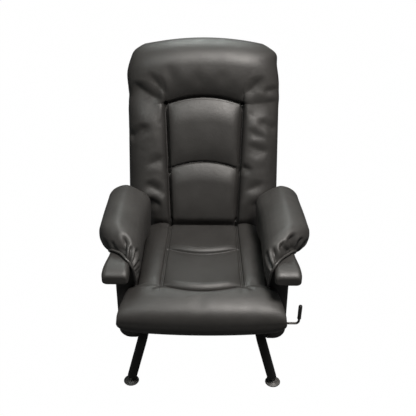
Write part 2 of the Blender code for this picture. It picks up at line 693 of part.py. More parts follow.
def build_arm(side, word, leather):
    """One arm: the upholstered panel beside the seat, its padded cap and the slip-on pillow over the cap."""

    def rounded_bar(bm, low, high, rounds, front, rear, end_round):
        stations = (
            (front, end_round),
            (front + end_round * 0.3, end_round * 0.3),
            (front + end_round, 0.0),
            (rear - end_round, 0.0),
            (rear - end_round * 0.3, end_round * 0.3),
            (rear, end_round),
        )
        rings = []
        for y, inset in stations:
            ring = rounded_ring(
                (low[0] + inset, low[1] + inset * 0.5), (high[0] - inset, high[1] - inset), rounds
            )
            rings.append([(side * x, y, z) for x, z in ring])
        loft(bm, rings)

    bm = bmesh.new()
    rounds = (PANEL_ROUND, PANEL_LOWER_ROUND, PANEL_ROUND, PANEL_ROUND)
    panel_low = (PANEL_INNER_X, PANEL_BOTTOM_Z)
    panel_high = (PANEL_OUTER_X, PANEL_TOP_Z)
    rounded_bar(bm, panel_low, panel_high, rounds, PANEL_FRONT_Y, PANEL_REAR_Y, PANEL_ROUND * 0.8)
    panel = node("arm_panel_" + word, bm, leather, sharp=60.0)

    bm = bmesh.new()
    rounds = (CAP_ROUND,) * 4
    cap_low = (CAP_INNER_X, CAP_BOTTOM_Z)
    cap_high = (CAP_OUTER_X, CAP_TOP_Z)
    rounded_bar(bm, cap_low, cap_high, rounds, CAP_FRONT_Y, CAP_REAR_Y, CAP_ROUND * 0.6)
    node("arm_cap_" + word, bm, leather, sharp=60.0)

    inner = PANEL_INNER_X - GAP
    outer = CAP_OUTER_X + GAP
    front = CAP_FRONT_Y + PILLOW_FRONT_INSET
    rings = []
    for share in (0.0, 0.06, 0.2, 0.4, 0.6, 0.8, 0.94, 1.0):
        y = front + PILLOW_LENGTH * share
        puff = swell(share, 6) ** 0.5
        slant = PILLOW_HEM_SLANT * (1.0 - share) ** 4
        side_out = outer + PILLOW_SIDE * blend(0.35, 1.0, puff)
        side_in = inner - PILLOW_FLAP * blend(0.6, 1.0, puff)
        top = CAP_TOP_Z + GAP + PILLOW_TOP * blend(0.4, 1.0, puff)
        crown = PILLOW_CROWN * puff
        hem = PILLOW_HEM_BOTTOM_Z + PILLOW_PUCKER * (1.0 - puff)
        arch = []
        for degrees in (10.0, 40.0, 65.0, 90.0, 115.0, 140.0, 170.0):
            turn = math.radians(degrees)
            middle = (side_in + side_out) / 2.0
            across = middle - (side_out - side_in) / 2.0 * math.cos(turn)
            arch.append((across, top - PILLOW_ARCH_DROP + (crown + PILLOW_ARCH_DROP) * math.sin(turn) ** 0.7))
        ring = [(inner, PILLOW_FLAP_BOTTOM_Z), (side_in, PILLOW_FLAP_BOTTOM_Z + PILLOW_LIP)]
        ring.append((side_in, (PILLOW_FLAP_BOTTOM_Z + top) / 2.0))
        ring += arch
        ring += [(side_out, (hem + top) / 2.0), (side_out - PILLOW_LIP, hem), (outer, hem + PILLOW_LIP)]
        ring += [(outer, CAP_TOP_Z + GAP), (inner, CAP_TOP_Z + GAP)]
        rings.append([(side * x, y + slant * (x - inner) / (outer - inner), z) for x, z in ring])
    bm = bmesh.new()
    loft(bm, rings)
    node("arm_pillow_" + word, bm, leather, sharp=60.0)
    return panel


def build_leg_frame(side, word, surface):
    """One bent tube: front leg, rail under the seat and rear leg. Returns the feet's ball places and axes."""
    balls = (Vector((side * FOOT_X, FRONT_FOOT_Y, BALL_Z)), Vector((side * FOOT_X, REAR_FOOT_Y, BALL_Z)))
    bends = (Vector((side * RAIL_X, FRONT_BEND_Y, RAIL_Z)), Vector((side * RAIL_X, REAR_BEND_Y, RAIL_Z)))
    axes = [(bend - ball).normalized() for bend, ball in zip(bends, balls)]
    tube_start = COLLAR_START + COLLAR_LENGTH + GAP
    ends = [ball + axis * tube_start for ball, axis in zip(balls, axes)]
    path = bent_path((ends[0], bends[0], bends[1], ends[1]), TUBE_BEND)
    bm = bmesh.new()
    mouth = hole_radius(SHANK_RADIUS, GAP, TUBE_SIDES)
    tube(bm, path, TUBE_RADIUS, TUBE_WALL, TUBE_SIDES, TUBE_END_CAP, mouth)
    node("leg_frame_" + word, bm, surface)
    return list(zip(balls, axes))


def build_foot(word, ball, axis, plastic, nickel):
    """One foot: a bright stem along the leg, and a domed disc whose open socket holds the stem's ball."""
    neck_turn = math.asin(NECK_RADIUS / BALL_RADIUS)
    steps = 6
    profile = [(0.0, -BALL_RADIUS)]
    for step in range(1, steps + 1):
        turn = math.pi - (math.pi - neck_turn) * step / steps
        profile.append((BALL_RADIUS * math.sin(turn), BALL_RADIUS * math.cos(turn)))
    collar_end = COLLAR_START + COLLAR_LENGTH
    profile += [
        (NECK_RADIUS, COLLAR_START),
        (COLLAR_RADIUS, COLLAR_START),
        (COLLAR_RADIUS, collar_end),
        (SHANK_RADIUS, collar_end),
        (SHANK_RADIUS, collar_end + SHANK_LENGTH),
        (0.0, collar_end + SHANK_LENGTH),
    ]
    bm = bmesh.new()
    turned(bm, profile, along(ball, ball + axis), PIN_SIDES)
    node("foot_stem_" + word, bm, nickel)

    pivot = pivot_empty("foot_pivot_" + word, ball)
    socket = (BALL_RADIUS + SOCKET_GAP) / math.cos(math.pi / FOOT_SIDES)
    mouth = math.acos(SOCKET_MOUTH / socket)
    profile = [
        (0.0, -BALL_Z),
        (DISC_RADIUS - DISC_SOFTENING / 2.0, -BALL_Z),
        (DISC_RADIUS, DISC_SOFTENING / 2.0 - BALL_Z),
        (DISC_RADIUS, DISC_RIM - DISC_SOFTENING - BALL_Z),
        (DISC_RADIUS - DISC_SOFTENING, DISC_RIM - BALL_Z),
        (DISC_HUB_RADIUS + DISC_HUB_FLARE, SOCKET_MOUTH - DISC_HUB_FLARE * 0.6),
        (DISC_HUB_RADIUS, SOCKET_MOUTH),
    ]
    steps = 5
    for step in range(steps):
        turn = mouth + (math.pi - mouth) * step / steps
        profile.append((socket * math.sin(turn), socket * math.cos(turn)))
    profile.append((0.0, -socket))
    bm = bmesh.new()
    turned(bm, profile, Matrix.Identity(4), FOOT_SIDES)
    node("foot_disc_" + word, bm, plastic, pivot)


def build_seat_rails(wood, zinc, panels):
    """The four wooden rails, the leg plates and bolts below them and the bolts that hold the arm panels."""
    plate_bottom = PLATE_TOP_Z - PLATE_THICKNESS
    up = Vector((0.0, 0.0, 1.0))
    mid_z = FRAME_BOTTOM_Z + FRAME_RAIL_HEIGHT / 2.0
    for side, word in ((-1.0, "left"), (1.0, "right")):
        bm = bmesh.new()
        low_x, high_x = sorted((side * RAIL_INNER_X, side * FRAME_HALF_WIDTH))
        block(bm, (low_x, FRAME_FRONT_Y, FRAME_BOTTOM_Z), (high_x, FRAME_REAR_Y, FRAME_TOP_Z), WOOD_SOFTENING)
        rail = node("seat_rail_" + word, bm, wood)
        holes = []
        for end, plate_y in (("front", FRONT_PLATE_Y), ("rear", REAR_PLATE_Y)):
            centre = Vector((side * RAIL_X, plate_y, plate_bottom))
            reach = Vector((PLATE_WIDTH / 2.0, PLATE_LENGTH / 2.0, 0.0))
            bm = bmesh.new()
            block(bm, centre - reach, centre + reach + up * PLATE_THICKNESS)
            plate = node(f"leg_plate_{end}_{word}", bm, zinc)
            bolts = bmesh.new()
            for turn in (-1.0, 1.0):
                seat = centre + Vector((turn * side * LEG_BOLT_X, turn * LEG_BOLT_Y, 0.0))
                bolt(bolts, seat, up, BOLT_LENGTH, sink=GAP)
                holes.append(bolt_hole(seat, up, BOLT_LENGTH + HOLE_SPARE))
            combine(plate, bolts, "UNION")
        outward = Vector((side, 0.0, 0.0))
        panel_holes = []
        for index, share in ((1, 0.3), (2, 0.6)):
            seat = Vector((side * RAIL_INNER_X, PANEL_FRONT_Y + share * PANEL_LENGTH, mid_z + ARM_BOLT_LIFT))
            length = FRAME_RAIL_WIDTH + PANEL_THICKNESS / 2.0
            bm = bmesh.new()
            bolt(bm, seat, outward, length)
            node(f"arm_bolt_{word}_{index}", bm, zinc)
            holes.append(bolt_hole(seat, outward, length + HOLE_SPARE))
            panel_holes.append(holes[-1])
        if side > 0.0:
            lever = Vector((PANEL_INNER_X, LEVER_Y, LEVER_Z))
            away = Vector((HOLE_LEAD, 0.0, 0.0))
            wide = Vector((PANEL_THICKNESS, 0.0, 0.0))
            panel_holes.append((lever - away, lever + wide + away, hole_radius(BUSH_RADIUS, GAP)))
        drill(panels[word], panel_holes)
        for index in (0.0, 1.0):
            hinge_y = PIVOT.y - HINGE_REACH + index * HINGE_BOLT_PITCH
            seat = Vector((side * HINGE_INNER_X, hinge_y, FRAME_BOTTOM_Z + HINGE_BOLT_HEIGHT))
            holes.append(bolt_hole(seat, outward, BOLT_LENGTH + HOLE_SPARE))
        drill(rail, holes)

    bm = bmesh.new()
    end_x = RAIL_INNER_X - GAP
    high = (end_x, FRAME_FRONT_Y + FRAME_RAIL_WIDTH, FRAME_TOP_Z)
    block(bm, (-end_x, FRAME_FRONT_Y, FRAME_BOTTOM_Z), high, WOOD_SOFTENING)
    node("seat_rail_front", bm, wood)
    bm = bmesh.new()
    end_x = HINGE_INNER_X - GAP
    low = (-end_x, FRAME_REAR_Y - FRAME_RAIL_WIDTH, FRAME_BOTTOM_Z)
    block(bm, low, (end_x, FRAME_REAR_Y, FRAME_TOP_Z), WOOD_SOFTENING)
    node("seat_rail_rear", bm, wood)


def build_seat_support(webbing, cloth):
    """The crossed elastic webbing on top of the frame and the dust cover inside its underside."""
    pitch = 2.0 * RAIL_INNER_X / SEAT_STRAPS
    half = SEAT_STRAP_WIDTH / 2.0
    middles = [pitch * (index - (SEAT_STRAPS - 1) / 2.0) for index in range(SEAT_STRAPS)]
    columns = [(x - half, x + half) for x in middles]
    front = FRAME_FRONT_Y + FRAME_RAIL_WIDTH / 4.0
    rear = FRAME_REAR_Y - FRAME_RAIL_WIDTH
    step = (rear - front) / (SEAT_CROSS_STRAPS + 1)
    middles = [front + step * (index + 1) for index in range(SEAT_CROSS_STRAPS)]
    rows = [(front, front + GAP)] + [(y - half, y + half) for y in middles] + [(rear, rear + GAP)]
    height = FRAME_TOP_Z + GAP + STRAP_THICKNESS / 2.0
    lattice("seat_webbing", columns, rows, lambda a, b: (a, b, height), webbing)
    bm = bmesh.new()
    cover_x = RAIL_INNER_X - GAP
    cover_z = FRAME_BOTTOM_Z + DUST_COVER_LIFT
    low = (-cover_x, FRAME_FRONT_Y + FRAME_RAIL_WIDTH + GAP, cover_z)
    block(bm, low, (cover_x, rear - GAP, cover_z + DUST_COVER_THICKNESS))
    node("dust_cover", bm, cloth)


def build_hinges(steel, zinc, pivot):
    """Seat-side plates with their bolts and welded nuts, back-side arms and the pivot bolts between them."""
    pin_bore = hole_radius(PIVOT_RADIUS, GAP)
    bolt_z = FRAME_BOTTOM_Z + HINGE_BOLT_HEIGHT
    front = (PIVOT.y - HINGE_REACH, bolt_z)
    for side, word in ((-1.0, "left"), (1.0, "right")):
        through = Vector((side, 0.0, 0.0))
        bm = bmesh.new()
        outline = link_outline(front, HINGE_FRONT_RADIUS, (PIVOT.y, PIVOT.z), HINGE_EYE)
        sheet(bm, outline, side * HINGE_INNER_X, side * HINGE_OUTER_X)
        plate = node("hinge_plate_" + word, bm, steel)
        extras = bmesh.new()
        for index in (0.0, 1.0):
            seat = Vector((side * HINGE_INNER_X, PIVOT.y - HINGE_REACH + index * HINGE_BOLT_PITCH, bolt_z))
            bolt(extras, seat, through, BOLT_LENGTH, sink=GAP)
        nut_start = Vector((side * (HINGE_OUTER_X - GAP), PIVOT.y, PIVOT.z))
        rod(extras, nut_start, nut_start + through * PIVOT_NUT, PIVOT_HEAD_RADIUS, NUT_SIDES)
        combine(plate, extras, "UNION")
        mid = Vector((side * HINGE_INNER_X, PIVOT.y, PIVOT.z))
        drill(plate, [(mid - through * HOLE_LEAD, mid + through * 2.0 * HOLE_LEAD, pin_bore)])

        arm_top = (HOOP_BEHIND - PIVOT_BEHIND, HINGE_ARM_HEIGHT + PIVOT_BELOW)
        outline = link_outline((0.0, 0.0), HINGE_EYE, arm_top, HINGE_ARM_RADIUS)
        bm = bmesh.new()
        sheet(bm, outline, side * ARM_PLATE_INNER_X, side * ARM_PLATE_OUTER_X)
        arm = node("hinge_arm_" + word, bm, steel, pivot)
        inner = Vector((side * ARM_PLATE_INNER_X, 0.0, 0.0))
        drill(arm, [(inner - through * HOLE_LEAD, inner + through * HOLE_LEAD, pin_bore)])

        seat = Vector((side * ARM_PLATE_INNER_X, PIVOT.y, PIVOT.z))
        length = HINGE_OUTER_X - ARM_PLATE_INNER_X + PIVOT_NUT + PIVOT_TIP
        bm = bmesh.new()
        bolt(bm, seat, through, length, PIVOT_RADIUS, PIVOT_HEAD_RADIUS, PIVOT_HEAD)
        node("pivot_bolt_" + word, bm, zinc)


def build_back_frame(steel, webbing, leather, pivot):
    """The tube hoop, the cross tube near its foot, the webbing across it and the padded cover behind it."""
    behind = -HOOP_BEHIND
    corners = [
        back_point(-HOOP_HALF_WIDTH, HOOP_FOOT, behind),
        back_point(-HOOP_HALF_WIDTH, HOOP_TOP, behind),
        back_point(HOOP_HALF_WIDTH, HOOP_TOP, behind),
        back_point(HOOP_HALF_WIDTH, HOOP_FOOT, behind),
    ]
    bm = bmesh.new()
    tube(bm, bent_path(corners, HOOP_BEND), HOOP_RADIUS, HOOP_WALL, HOOP_SIDES)
    node("back_hoop", bm, steel, pivot)

    bm = bmesh.new()
    reach = HOOP_HALF_WIDTH
    cross_ends = [back_point(place, CROSS_HEIGHT, behind) for place in (-reach, reach)]
    rod(bm, *cross_ends, CROSS_RADIUS, PIN_SIDES)
    cross = node("back_cross_tube", bm, steel, pivot)
    fish_mouths = []
    for side in (-1.0, 1.0):
        low = back_point(side * HOOP_HALF_WIDTH, CROSS_HEIGHT - HOOP_BEND, behind)
        high = back_point(side * HOOP_HALF_WIDTH, CROSS_HEIGHT + HOOP_BEND, behind)
        fish_mouths.append((low, high, hole_radius(HOOP_RADIUS, GAP)))
    drill(cross, fish_mouths)

    reach = HOOP_HALF_WIDTH + HOOP_RADIUS
    half = BACK_STRAP_WIDTH / 2.0
    heights = [BACK_STRAP_FIRST + index * BACK_STRAP_STEP for index in range(BACK_STRAPS)]
    rows = [(height - half, height + half) for height in heights]
    step = 2.0 * HOOP_HALF_WIDTH / (BACK_UPRIGHT_STRAPS + 1)
    middles = [step * (index + 1) - HOOP_HALF_WIDTH for index in range(BACK_UPRIGHT_STRAPS)]
    columns = [(-reach, GAP - reach)] + [(x - half, x + half) for x in middles] + [(reach - GAP, reach)]
    depth = BACK_DEPTH + GAP + STRAP_THICKNESS / 2.0
    lattice("back_webbing", columns, rows, lambda a, b: back_point(a, b, -depth), webbing, pivot)

    near = BACK_DEPTH + GAP
    far = near + COVER_DEPTH
    heights = [COVER_FOOT, BACK_SHOULDER_START, BACK_SHOULDER_START + BACK_SHOULDER_RUN, HOOP_TOP / 2.0]
    rows = [(height, 1.0) for height in heights]
    rows += [(COVER_TOP - COVER_DOME, 1.0), (COVER_TOP - COVER_DOME / 4.0, 0.85)]
    rows += [(COVER_TOP, 0.5), (COVER_TOP, 0.0)]
    section = ((1.0, 0.0), (1.0, 0.5), (0.93, 0.9), (0.6, 1.0), (0.0, 1.0))
    points = [(-across, fall) for across, fall in section] + list(reversed(section[:-1]))
    bm = bmesh.new()
    grid = []
    for height, depth in rows:
        share = ease((height - BACK_SHOULDER_START) / BACK_SHOULDER_RUN)
        half = blend(BACK_LOW_HALF_WIDTH, BACK_HALF_WIDTH, share) - COVER_INSET
        half -= COVER_DOME * ease((height + COVER_DOME - COVER_TOP) / COVER_DOME)
        section_points = [back_point(x * half, height, -blend(near, far, fall * depth)) for x, fall in points]
        grid.append([bm.verts.new(point) for point in section_points])
    for low, high in zip(grid, grid[1:]):
        for i in range(len(low) - 1):
            bm.faces.new((low[i], low[i + 1], high[i + 1], high[i]))
    bmesh.ops.remove_doubles(bm, verts=bm.verts, dist=1e-6)
    cover = node("back_rear_cover", bm, leather, pivot, sharp=60.0)
    shell = cover.modifiers.new("sheet", "SOLIDIFY")
    shell.thickness = COVER_SHEET
    shell.offset = -1.0
    shell.use_even_offset = True


def build_gas_spring(steel, chrome, black, zinc, cylinder_pivot, pin_pivot, crank_pivot):
    """The lockable gas spring: bracket and rod on the seat, cylinder on the back's crank, release pin."""
    axis_start = Vector((0.0, ROD_TIP_Y, GAS_Z))
    piston_end = CYLINDER_FRONT_Y + CYLINDER_END + PISTON_CLEARANCE + PISTON_LENGTH
    length = piston_end - ROD_TIP_Y
    bore = hole_radius(RELEASE_PIN_RADIUS, GAP)
    bore_depth = RELEASE_PIN_LENGTH
    piston = CYLINDER_BORE * math.cos(math.pi / PIN_SIDES) - GAP
    shoulder = WEB_REAR_Y + GAP - ROD_TIP_Y
    profile = (
        (0.0, bore_depth),
        (bore, bore_depth),
        (bore, 0.0),
        (ROD_RADIUS, 0.0),
        (ROD_RADIUS, shoulder),
        (ROD_NUT_RADIUS, shoulder),
        (ROD_NUT_RADIUS, shoulder + ROD_NUT),
        (ROD_RADIUS, shoulder + ROD_NUT),
        (ROD_RADIUS, length - PISTON_LENGTH),
        (piston, length - PISTON_LENGTH),
        (piston, length),
        (0.0, length),
    )
    back_along = Vector((0.0, 1.0, 0.0))
    bm = bmesh.new()
    turned(bm, profile, along(axis_start, axis_start + back_along), PIN_SIDES)
    node("gas_rod", bm, chrome)

    bm = bmesh.new()
    rod_hole = hole_radius(ROD_RADIUS, GAP)
    nut_bore = hole_radius(ROD_RADIUS, GAP, NUT_SIDES)
    nut = ((nut_bore, 0.0), (ROD_NUT_RADIUS, 0.0), (ROD_NUT_RADIUS, ROD_NUT), (nut_bore, ROD_NUT))
    start = Vector((0.0, WEB_FRONT_Y - GAP - ROD_NUT, GAS_Z))
    turned(bm, nut, along(start, start + back_along), NUT_SIDES)
    node("gas_rod_nut", bm, zinc)

    flange_top = FRAME_BOTTOM_Z - GAP
    flange_bottom = flange_top - BRACKET_SHEET
    foot = GAS_Z - BRACKET_DROP
    outline = (
        (FRAME_FRONT_Y + BRACKET_INSET, flange_top),
        (FRAME_FRONT_Y + BRACKET_INSET, flange_bottom),
        (WEB_FRONT_Y, flange_bottom),
        (WEB_FRONT_Y, foot),
        (WEB_REAR_Y, foot),
        (WEB_REAR_Y, flange_top),
    )
    bm = bmesh.new()
    sheet(bm, outline, -BRACKET_WIDTH / 2.0, BRACKET_WIDTH / 2.0)
    bracket = node("gas_spring_bracket", bm, steel)
    screw_y = FRAME_FRONT_Y + FRAME_RAIL_WIDTH / 2.0
    screws = bmesh.new()
    web_front = Vector((0.0, WEB_FRONT_Y - HOLE_LEAD, GAS_Z))
    web_rear = Vector((0.0, WEB_REAR_Y + HOLE_LEAD, GAS_Z))
    holes = [(web_front, web_rear, rod_hole)]
    rail_holes = []
    for side in (-1.0, 1.0):
        seat = Vector((side * BRACKET_WIDTH / 3.0, screw_y, flange_bottom))
        bolt(screws, seat, (0.0, 0.0, 1.0), BOLT_LENGTH, sink=GAP)
        rail_holes.append(bolt_hole(seat, (0.0, 0.0, 1.0), BOLT_LENGTH + HOLE_SPARE))
    drill(bracket, holes)
    combine(bracket, screws, "UNION")
    drill(bpy.data.objects["seat_rail_front"], rail_holes)

    bm = bmesh.new()
    tip = RELEASE_TIP_Y - ROD_TIP_Y
    end = bore_depth - RELEASE_TRAVEL - 2.0 * GAP
    rod(bm, (0.0, tip, 0.0), (0.0, end, 0.0), RELEASE_PIN_RADIUS, PIN_SIDES)
    node("release_pin", bm, chrome, pin_pivot)

    front = CYLINDER_FRONT_Y - CRANK_PIN.y
    rear = CYLINDER_REAR_Y - CRANK_PIN.y
    guide = hole_radius(ROD_RADIUS, GAP)
    profile = (
        (guide, 0.0),
        (CYLINDER_RADIUS, 0.0),
        (CYLINDER_RADIUS, rear - front),
        (0.0, rear - front),
    )
    inner = ((0.0, rear - front - CYLINDER_END), (CYLINDER_BORE, rear - front - CYLINDER_END))
    inner += ((CYLINDER_BORE, CYLINDER_END), (guide, CYLINDER_END))
    start = Vector((0.0, front, 0.0))
    bm = bmesh.new()
    wall = (profile[-1], *profile[-2:0:-1], profile[0], *inner[::-1])
    turned(bm, wall, along(start, start + back_along), PIN_SIDES)
    node("gas_cylinder", bm, black, cylinder_pivot)

    bm = bmesh.new()
    neck = (GAP + CYLINDER_RADIUS * 0.7 - EYE_SHANK, 0.0)
    outline = link_outline((0.0, 0.0), EYE_RADIUS, neck, CYLINDER_RADIUS * 0.7)
    sheet(bm, outline, -EYE_WIDTH / 2.0, EYE_WIDTH / 2.0)
    eye = node("gas_cylinder_eye", bm, steel, cylinder_pivot)
    wide = Vector((EYE_WIDTH, 0.0, 0.0))
    drill(eye, [(-wide, wide, EYE_BORE / math.cos(math.pi / PIN_SIDES))])

    cross = CREASE + CROSS_HEIGHT * BACK_UP + HOOP_BEHIND * BACK_REAR - PIVOT
    pin = CRANK_PIN - PIVOT
    outline = link_outline((cross.y, cross.z), CRANK_TOP_RADIUS, (pin.y, pin.z), CRANK_END_RADIUS)
    bm = bmesh.new()
    near = EYE_WIDTH / 2.0 + RUNNING_GAP
    sheet(bm, outline, -near - CRANK_SHEET, near + CRANK_SHEET)
    crank = node("crank_fork", bm, steel, crank_pivot)
    slot = bmesh.new()
    slot_top = cross.z - CRANK_TOP_RADIUS - CRANK_SHEET
    deep = CRANK_RADIUS
    block(slot, (-near, pin.y - deep, pin.z - deep), (near, pin.y + deep, slot_top))
    combine(crank, slot, "DIFFERENCE")
    span = Vector((near + CRANK_SHEET + HOLE_LEAD, 0.0, 0.0))
    tube_hole = (cross - span, cross + span, hole_radius(CROSS_RADIUS, GAP))
    pin_hole = (pin - span, pin + span, hole_radius(CRANK_PIN_RADIUS, GAP))
    drill(crank, [tube_hole, pin_hole])
    bm = bmesh.new()
    seat = Vector((near + CRANK_SHEET, pin.y, pin.z))
    reach = 2.0 * (near + CRANK_SHEET) + CRANK_PIN_TIP
    bolt(bm, seat, (-1.0, 0.0, 0.0), reach, CRANK_PIN_RADIUS, CRANK_PIN_RADIUS * 1.6, CRANK_PIN_HEAD)
    node("crank_pin", bm, zinc, crank_pivot)


def build_lever(steel, rubber, plastic, zinc, pivot):
    """The release lever: bent rod with its grip, the finger on its inner end, its bush and its hanger."""
    start = (-FINGER_WIDTH / 2.0 - FINGER_COLLAR, 0.0, 0.0)
    bend = (LEVER_END_X, 0.0, 0.0)
    end = (LEVER_END_X + LEVER_FLARE, 0.0, LEVER_RISE)
    bm = bmesh.new()
    tube(bm, bent_path((start, bend, end), LEVER_BEND), LEVER_RADIUS, 0.0, PIN_SIDES)
    node("lever_rod", bm, steel, pivot)

    upward = (Vector(end) - Vector(bend)).normalized()
    grip_start = Vector(end) + upward * (GAP - GRIP_LENGTH)
    bore = hole_radius(LEVER_RADIUS, GAP)
    profile = (
        (0.0, GRIP_LENGTH),
        (bore, GRIP_LENGTH),
        (bore, 0.0),
        (GRIP_RADIUS, 0.0),
        (GRIP_RADIUS, GRIP_LENGTH + GRIP_CAP * 0.6),
        (GRIP_RADIUS * 0.7, GRIP_LENGTH + GRIP_CAP),
        (0.0, GRIP_LENGTH + GRIP_CAP),
    )
    bm = bmesh.new()
    turned(bm, profile, along(grip_start, grip_start + upward), PIN_SIDES)
    node("lever_grip", bm, rubber, pivot)

    rise = GAS_Z - LEVER_Z
    bm = bmesh.new()
    outline = link_outline((0.0, 0.0), FINGER_RADIUS, (0.0, rise), FINGER_TIP_RADIUS)
    sheet(bm, outline, -FINGER_WIDTH / 2.0, FINGER_WIDTH / 2.0)
    finger = node("lever_finger", bm, zinc, pivot)
    wide = Vector((FINGER_WIDTH, 0.0, 0.0))
    drill(finger, [(-wide, wide, hole_radius(LEVER_RADIUS, GAP))])

    bm = bmesh.new()
    bore = hole_radius(LEVER_RADIUS, GAP)
    length = PANEL_THICKNESS - BUSH_TRIM
    profile = ((bore, 0.0), (BUSH_RADIUS, 0.0), (BUSH_RADIUS, length), (bore, length))
    place = Vector((PANEL_INNER_X, LEVER_Y, LEVER_Z))
    turned(bm, profile, along(place, place + Vector((1.0, 0.0, 0.0))), PIN_SIDES)
    node("lever_bush", bm, plastic)

    top = FRAME_BOTTOM_Z - GAP
    reach = LEVER_Y + HANGER_ROUND
    front = FRAME_FRONT_Y + BRACKET_INSET
    low = LEVER_Z - HANGER_ROUND
    corner = FRAME_FRONT_Y + FRAME_RAIL_WIDTH / 2.0
    outline = ((front, top), (front, top - HANGER_LIP), (corner, low), (reach, low), (reach, top))
    bm = bmesh.new()
    sheet(bm, outline, HANGER_X, HANGER_X + HANGER_SHEET)
    hanger = node("lever_hanger", bm, zinc)
    flange = bmesh.new()
    flange_end = HANGER_X + HANGER_SHEET + HANGER_FLANGE
    block(flange, (HANGER_X + GAP, front + GAP, top - HANGER_SHEET), (flange_end, corner + HANGER_ROUND, top))
    combine(hanger, flange, "UNION")
    screw = bmesh.new()
    seat_y = (front + corner + HANGER_ROUND) / 2.0
    seat = Vector((flange_end - HANGER_FLANGE / 2.0, seat_y, top - HANGER_SHEET))
    upright = Vector((0.0, 0.0, 1.0))
    bolt(screw, seat, upright, BOLT_LENGTH, sink=GAP)
    combine(hanger, screw, "UNION")
    drill(bpy.data.objects["seat_rail_front"], [bolt_hole(seat, upright, BOLT_LENGTH + HOLE_SPARE)])
    mid = Vector((HANGER_X, LEVER_Y, LEVER_Z))
    away = Vector((2.0 * HOLE_LEAD, 0.0, 0.0))
    drill(hanger, [(mid - away, mid + away, hole_radius(LEVER_RADIUS, GAP))])


def main():
    remove_all()
    leather = finish("black_leathercloth", (0.012, 0.012, 0.013), 0.45)
    painted = finish("black_painted_steel", (0.010, 0.010, 0.011), 0.35, 0.3)
    plastic = finish("black_plastic", (0.015, 0.015, 0.015), 0.5)
    rubber = finish("black_rubber", (0.012, 0.012, 0.012), 0.7)
    nickel = finish("bright_nickel", (0.72, 0.71, 0.69), 0.2, 1.0)
    zinc = finish("zinc_plate", (0.50, 0.50, 0.50), 0.4, 1.0)
    chrome = finish("ground_steel", (0.60, 0.60, 0.61), 0.25, 1.0)
    wood = finish("pale_wood", (0.52, 0.36, 0.20), 0.7)
    webbing = finish("elastic_webbing", (0.05, 0.05, 0.05), 0.85)
    cloth = finish("black_dust_cloth", (0.02, 0.02, 0.02), 0.95)

    back_pivot = pivot_empty("recline_pivot", PIVOT, BACK_LEAN)
    crank_pivot = pivot_empty("crank_pivot", PIVOT)
    cylinder_pivot = pivot_empty("gas_cylinder_rest", (0.0, CRANK_PIN.y, GAS_Z))
    pin_pivot = pivot_empty("release_pin_rest", (0.0, ROD_TIP_Y, GAS_Z))
    lever_pivot = pivot_empty("lever_pivot", (0.0, LEVER_Y, LEVER_Z))

    panels = {}
    for side, word in ((-1.0, "left"), (1.0, "right")):
        for end, (ball, axis) in zip(("front", "rear"), build_leg_frame(side, word, painted)):
            build_foot(f"{end}_{word}", ball, axis, plastic, nickel)
        panels[word] = build_arm(side, word, leather)
    build_seat_rails(wood, zinc, panels)
    build_seat_support(webbing, cloth)
    build_seat_cushion(leather)
    build_hinges(painted, zinc, back_pivot)
    build_back_frame(painted, webbing, leather, back_pivot)
    build_back_cushion(leather, back_pivot)
    build_gas_spring(painted, chrome, painted, zinc, cylinder_pivot, pin_pivot, crank_pivot)
    build_lever(chrome, rubber, plastic, zinc, lever_pivot)


main()
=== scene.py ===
"""Looks of the high-backed recliner armchair: soft black leathercloth cushions on a bent-tube frame.

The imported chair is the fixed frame. New pieces are surfaces worked out as whole arrays of points, and take
the places of the plain solids that they stand for. Sizes are metres in the chair's own frame.
"""

import math

import bpy
import numpy as np
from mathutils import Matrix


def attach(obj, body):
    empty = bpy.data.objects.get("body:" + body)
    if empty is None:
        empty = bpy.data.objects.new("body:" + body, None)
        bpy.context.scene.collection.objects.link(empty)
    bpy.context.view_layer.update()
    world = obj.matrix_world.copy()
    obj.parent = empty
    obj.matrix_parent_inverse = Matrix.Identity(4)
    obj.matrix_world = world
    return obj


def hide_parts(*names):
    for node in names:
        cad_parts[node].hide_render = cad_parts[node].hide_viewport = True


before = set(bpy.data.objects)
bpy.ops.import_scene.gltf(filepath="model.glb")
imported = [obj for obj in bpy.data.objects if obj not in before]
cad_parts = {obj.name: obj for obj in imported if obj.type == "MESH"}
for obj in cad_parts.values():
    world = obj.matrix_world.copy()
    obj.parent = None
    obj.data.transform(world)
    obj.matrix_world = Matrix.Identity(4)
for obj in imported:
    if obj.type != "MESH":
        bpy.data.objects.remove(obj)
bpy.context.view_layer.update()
chance = np.random.default_rng(19)

# Sizes repeated from the chair's source
CREASE = np.array([0.0, 0.093, 0.386])
LEAN = math.radians(19.6)
BACK_UP = np.array([0.0, math.sin(LEAN), math.cos(LEAN)])
BACK_REAR = np.array([0.0, math.cos(LEAN), -math.sin(LEAN)])
BACK_TAIL = 0.050
BACK_TAIL_DEPTH = 0.050
BACK_MID_SEAM = 0.199
BACK_TOP_SEAM = 0.4345
BACK_SIDE_TOP = 0.649
BACK_TOP = 0.671
BACK_NARROW = 0.207
BACK_WIDE = 0.2675
BACK_DEPTH = 0.0864
BACK_BOW, BACK_ARCH = 0.026, 0.022
BACK_BOLSTER_RISE = 0.034
EDGE_DROP = 0.030
SHOULDER_START, SHOULDER_RUN = 0.088, 0.050
COVER_FOOT = -0.030
COVER_TOP = 0.631
COVER_DOME = 0.040
COVER_INSET, COVER_TOP_INSET = 0.012, 0.040
COVER_DEPTH, COVER_SHEET = 0.048, 0.004
PANEL_HALF_LOW = 0.118
PANEL_HALF_TOP = 0.135
PANEL_HALF_FRONT = 0.130
SEAT_DEPTH = 0.5215
SEAT_REAR = 0.091
SEAT_EAR = -0.2968
SEAT_STEP = -0.3168
SEAT_BASE = 0.2998
SEAT_BOW, ROLL_BOW = 0.032, 0.014
SEAT_FRONT_RISE = 0.010
SEAT_HALF = 0.2075
